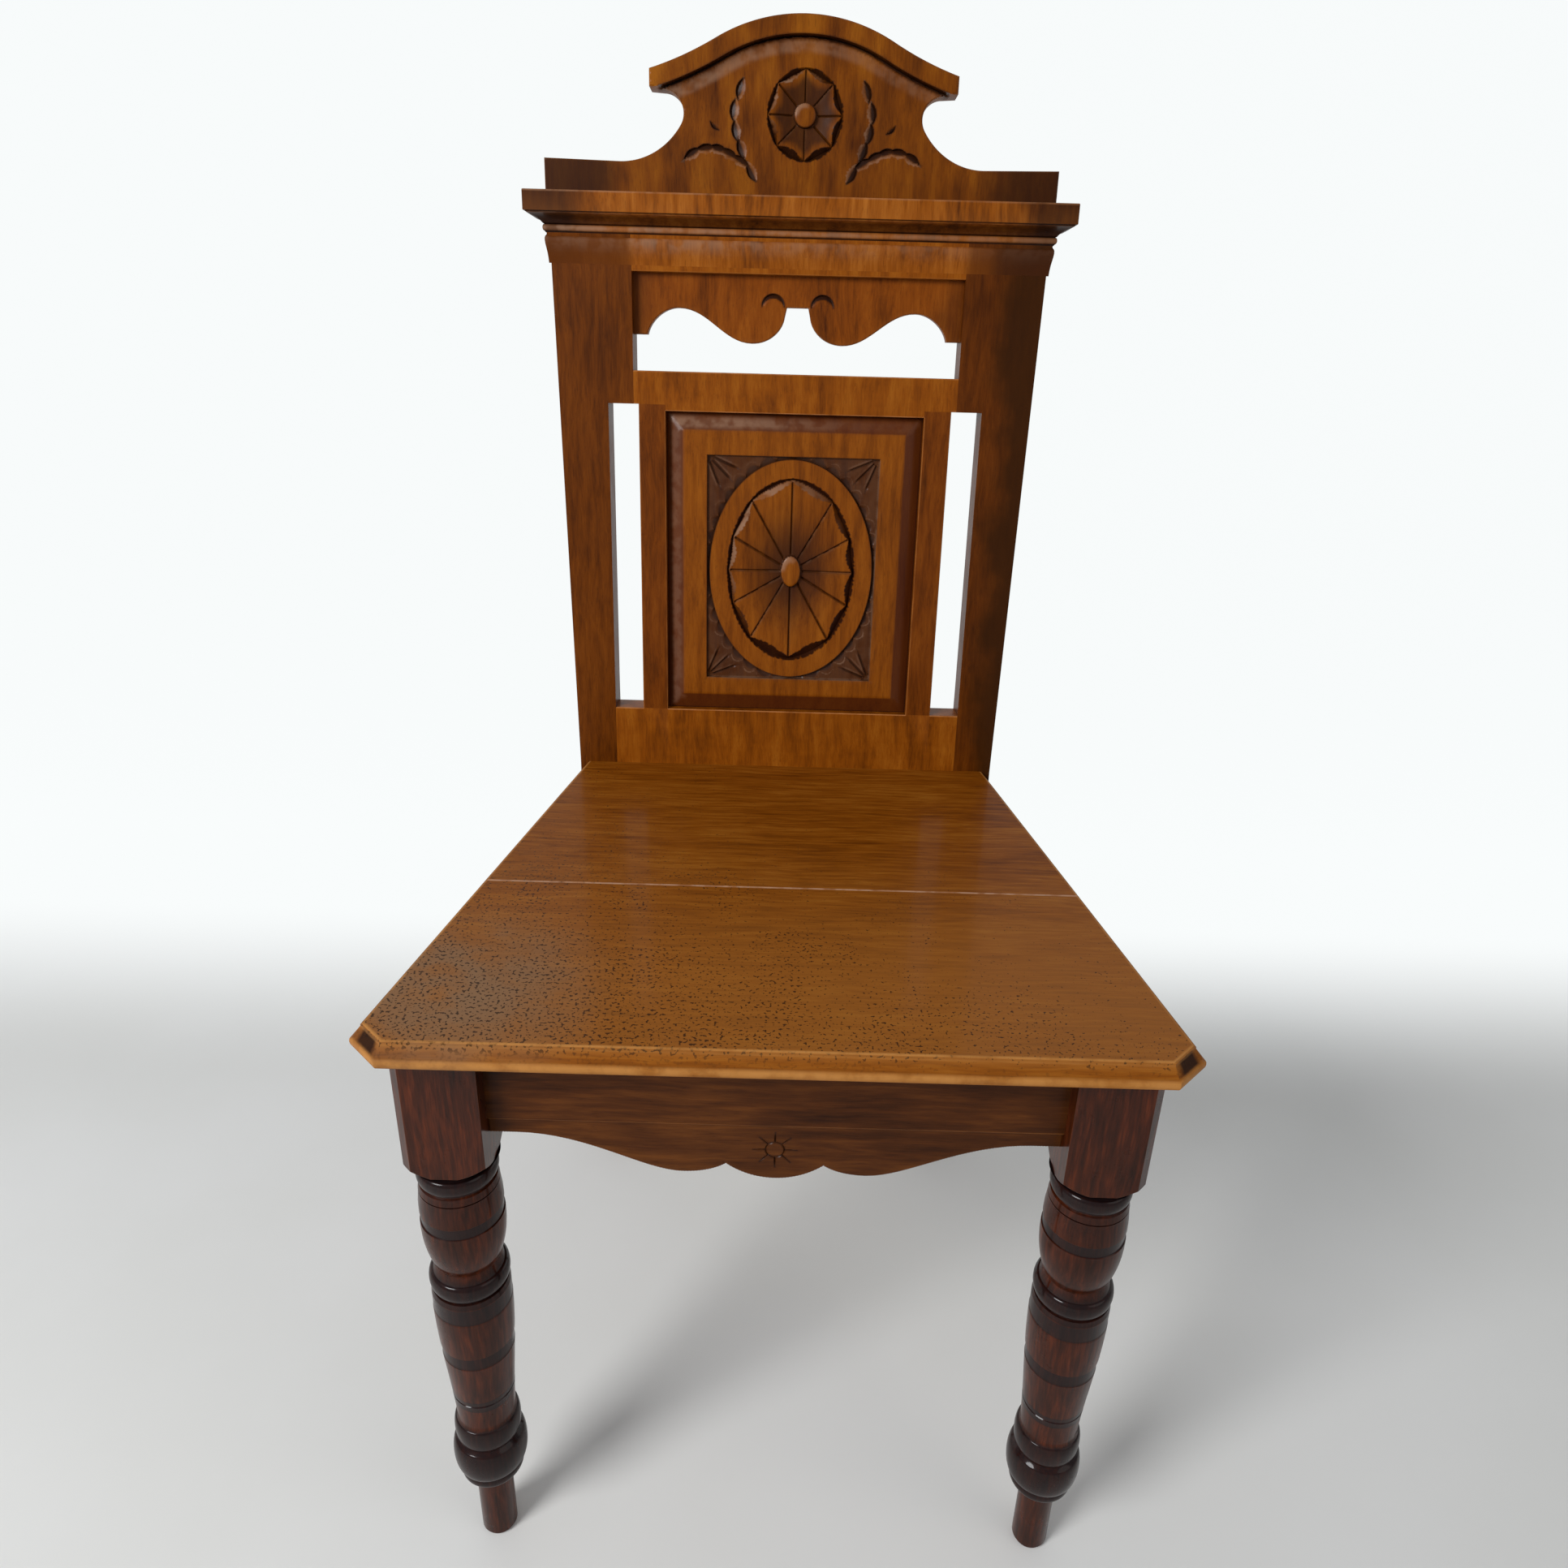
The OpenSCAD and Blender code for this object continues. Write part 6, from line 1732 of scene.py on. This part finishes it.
def makeScrewTree():
    tree, given, put = newGroup("slottedScrews", "GeometryNodeTree", [
        ("Geometry", "shape", None), ("Head Radius", "number", 3.6 * mm),
        ("Shank Radius", "number", 1.9 * mm), ("Head Height", "number", screw["headHeight"]),
        ("Slot Width", "number", screw["slotWide"]),
        ("Slot Depth", "number", screw["slotDeep"]), ("Length", "number", 28 * mm),
        ("Ribs", "count", screw["ribs"]), ("Finish", "material", None),
    ], [("Geometry", "shape")])
    out = given.outputs
    head = addNode(tree, "GeometryNodeMeshCone", {
        "Vertices": out["Ribs"], "Radius Bottom": out["Head Radius"], "Radius Top": out["Shank Radius"],
        "Depth": out["Head Height"]})
    slotLong, slotHigh = times(tree, out["Head Radius"], 3.0), times(tree, out["Slot Depth"], 2.0)
    slotSize = addNode(tree, "ShaderNodeCombineXYZ", {0: slotLong, 1: out["Slot Width"], 2: slotHigh})
    slot = addNode(tree, "GeometryNodeMeshCube", {"Size": slotSize.outputs[0]})
    cut = addNode(tree, "GeometryNodeMeshBoolean", {"Mesh 1": head.outputs[0], "Mesh 2": slot.outputs[0]},
                  operation="DIFFERENCE")
    shank = addNode(tree, "GeometryNodeMeshCylinder", {
        "Vertices": out["Ribs"], "Radius": out["Shank Radius"], "Depth": out["Length"]})
    lift = maths(tree, "ADD", out["Head Height"], times(tree, out["Length"], 0.5))
    lifted = addNode(tree, "ShaderNodeCombineXYZ", {2: lift})
    shankUp = addNode(tree, "GeometryNodeTransform", {
        "Geometry": shank.outputs[0], "Translation": lifted.outputs[0]})
    both = addNode(tree, "GeometryNodeJoinGeometry")
    tree.links.new(cut.outputs[0], both.inputs[0])
    tree.links.new(shankUp.outputs[0], both.inputs[0])
    way = addNode(tree, "GeometryNodeInputNamedAttribute", {"Name": "way"}, data_type="FLOAT_VECTOR")
    turn = addNode(tree, "FunctionNodeAlignRotationToVector", {"Vector": way.outputs[0]}, axis="Z")
    spread = addNode(tree, "GeometryNodeInstanceOnPoints", {
        "Points": out["Geometry"], "Instance": both.outputs[0], "Rotation": turn.outputs[0]})
    tree.links.new(finished(tree, spread, out["Finish"]), put.inputs[0])
    return tree


screwTree = makeScrewTree()
for node in ("corner_block_screws", "seat_screws"):
    facts = [screwFacts(points) for points in islands(node)]
    spots = bpy.data.meshes.new("screwSpots")
    spots.from_pydata([tuple(f[0]) for f in facts], [], [])
    ways = np.concatenate([f[1] for f in facts])
    spots.attributes.new("way", "FLOAT_VECTOR", "POINT").data.foreach_set("vector", ways)
    length, headRadius, shankRadius = facts[0][2:]
    mesh = builtBy(screwTree, bpy.data.objects.new("screwSpots", spots), {
        "Head Radius": headRadius, "Shank Radius": shankRadius, "Head Height": screw["headHeight"],
        "Slot Width": screw["slotWide"], "Slot Depth": screw["slotDeep"],
        "Length": length - screw["headHeight"], "Ribs": screw["ribs"], "Finish": finishes["screwSteel"]})
    bm = bmesh.new()
    bm.from_mesh(mesh)
    bmesh.ops.remove_doubles(bm, verts=bm.verts, dist=1e-6)
    shaded(bm, 34)
    bm.to_mesh(mesh)
    bm.free()
    dressed(node + "_slotted", mesh, "screwSteel", [node])
    print(node, len(facts), "screws")

# Dowels keep their CAD shape
for node in ("seat_dowels", "cornice_dowels", "crest_dowels"):
    for socket in nodes[node].material_slots:
        socket.material = finishes["dowelBeech"]


# Stage, light and camera
stage = {"floor": (228, 227, 222), "floorCloud": (232, 231, 227), "wall": (247, 250, 250),
         "air": (226, 232, 242), "sky": 0.42, "wallFrom": 0.28, "wallTo": 0.66,
         "half": 6.0, "front": -4.0, "sweepFrom": 0.9, "sweepR": 0.8, "top": 4.0}
lamps = {  # its place, the point it faces, its size, its power and its colour
    "softKey": ((-1.45, -1.5, 1.6), (0, 0, 0.6), 0.95, 44.0, (0.97, 0.98, 1.0)),
    "softFill": ((1.9, -1.3, 1.4), (0, 0, 0.5), 1.8, 7.0, (1.0, 0.95, 0.88)),
}
view = {"place": (-0.588, -721.014, 829.344), "pitch": 24.285, "roll": 1.56, "lens": 25.903, "sensor": 36.0}


def makeStage():
    material, tree, shader, coords = newMaterial("paleStage")
    parts = addNode(tree, "ShaderNodeSeparateXYZ", {0: coords}).outputs
    path = addNode(tree, "ShaderNodeLightPath").outputs
    cloudy = ranged(tree, noise(tree, coords, 3.0, 4.0)["Fac"], 0.3, 0.7)
    floor = mixed(tree, cloudy, paint(*stage["floor"]), paint(*stage["floorCloud"]))
    seen = maths(tree, "ADD", maths(tree, "ADD", path["Is Camera Ray"], path["Is Glossy Ray"]),
                 path["Is Transmission Ray"], clamp=True)
    wall = times(tree, ranged(tree, parts["Y"], stage["wallFrom"], stage["wallTo"]), seen)
    tree.links.new(mixed(tree, wall, floor, (0, 0, 0, 1)), shader.inputs["Base Color"])
    tree.links.new(wall, shader.inputs["Emission Strength"])
    shader.inputs["Emission Color"].default_value = paint(*stage["wall"])
    shader.inputs["Roughness"].default_value = 0.8
    shader.inputs["Specular IOR Level"].default_value = 0.2
    start, r = stage["sweepFrom"], stage["sweepR"]
    curve = [(start + r * sin(a), r - r * cos(a)) for a in np.linspace(0, pi / 2, 16)]
    line = [(stage["front"], 0)] + curve + [(start + r, stage["top"])]
    verts = [(x, y, z) for y, z in line for x in (-stage["half"], stage["half"])]
    faces = [(2 * i, 2 * i + 1, 2 * i + 3, 2 * i + 2) for i in range(len(line) - 1)]
    mesh = bpy.data.meshes.new("studio_sweep")
    mesh.from_pydata(verts, [], faces)
    for polygon in mesh.polygons:
        polygon.use_smooth = True
    mesh.materials.append(material)
    sweep = bpy.data.objects.new("studio_sweep", mesh)
    bpy.context.scene.collection.objects.link(sweep)


def addLight(name, place, target, size, watts, tint):
    data = bpy.data.lights.new(name, "AREA")
    data.shape = "DISK"
    data.size = size
    data.energy = watts
    data.color = tint
    light = bpy.data.objects.new(name, data)
    light.location = place
    light.rotation_euler = (Vector(target) - Vector(place)).to_track_quat("-Z", "Y").to_euler()
    bpy.context.scene.collection.objects.link(light)


def makeCamera():
    pitch, roll = radians(view["pitch"]), radians(view["roll"])
    ahead = Vector((0, cos(pitch), -sin(pitch)))
    level = Vector((1, 0, 0))
    upright = level.cross(ahead)
    right = level * cos(roll) + upright * sin(roll)
    up = upright * cos(roll) - level * sin(roll)
    data = bpy.data.cameras.new("photoCamera")
    data.sensor_width = view["sensor"]
    data.lens = view["lens"]
    camera = bpy.data.objects.new("photoCamera", data)
    turned = Matrix((right, up, -ahead)).transposed().to_4x4()
    camera.matrix_world = Matrix.Translation(Vector(view["place"]) * mm) @ turned
    bpy.context.scene.collection.objects.link(camera)
    bpy.context.scene.camera = camera


makeStage()
for name, lamp in lamps.items():
    addLight(name, *lamp)
world = bpy.data.worlds.new("studioAir")
world.use_nodes = True
world.node_tree.nodes["Background"].inputs[0].default_value = paint(*stage["air"])
world.node_tree.nodes["Background"].inputs[1].default_value = stage["sky"]
bpy.context.scene.world = world
bpy.context.scene.view_settings.view_transform = "Standard"
makeCamera()

print("chair dressed")
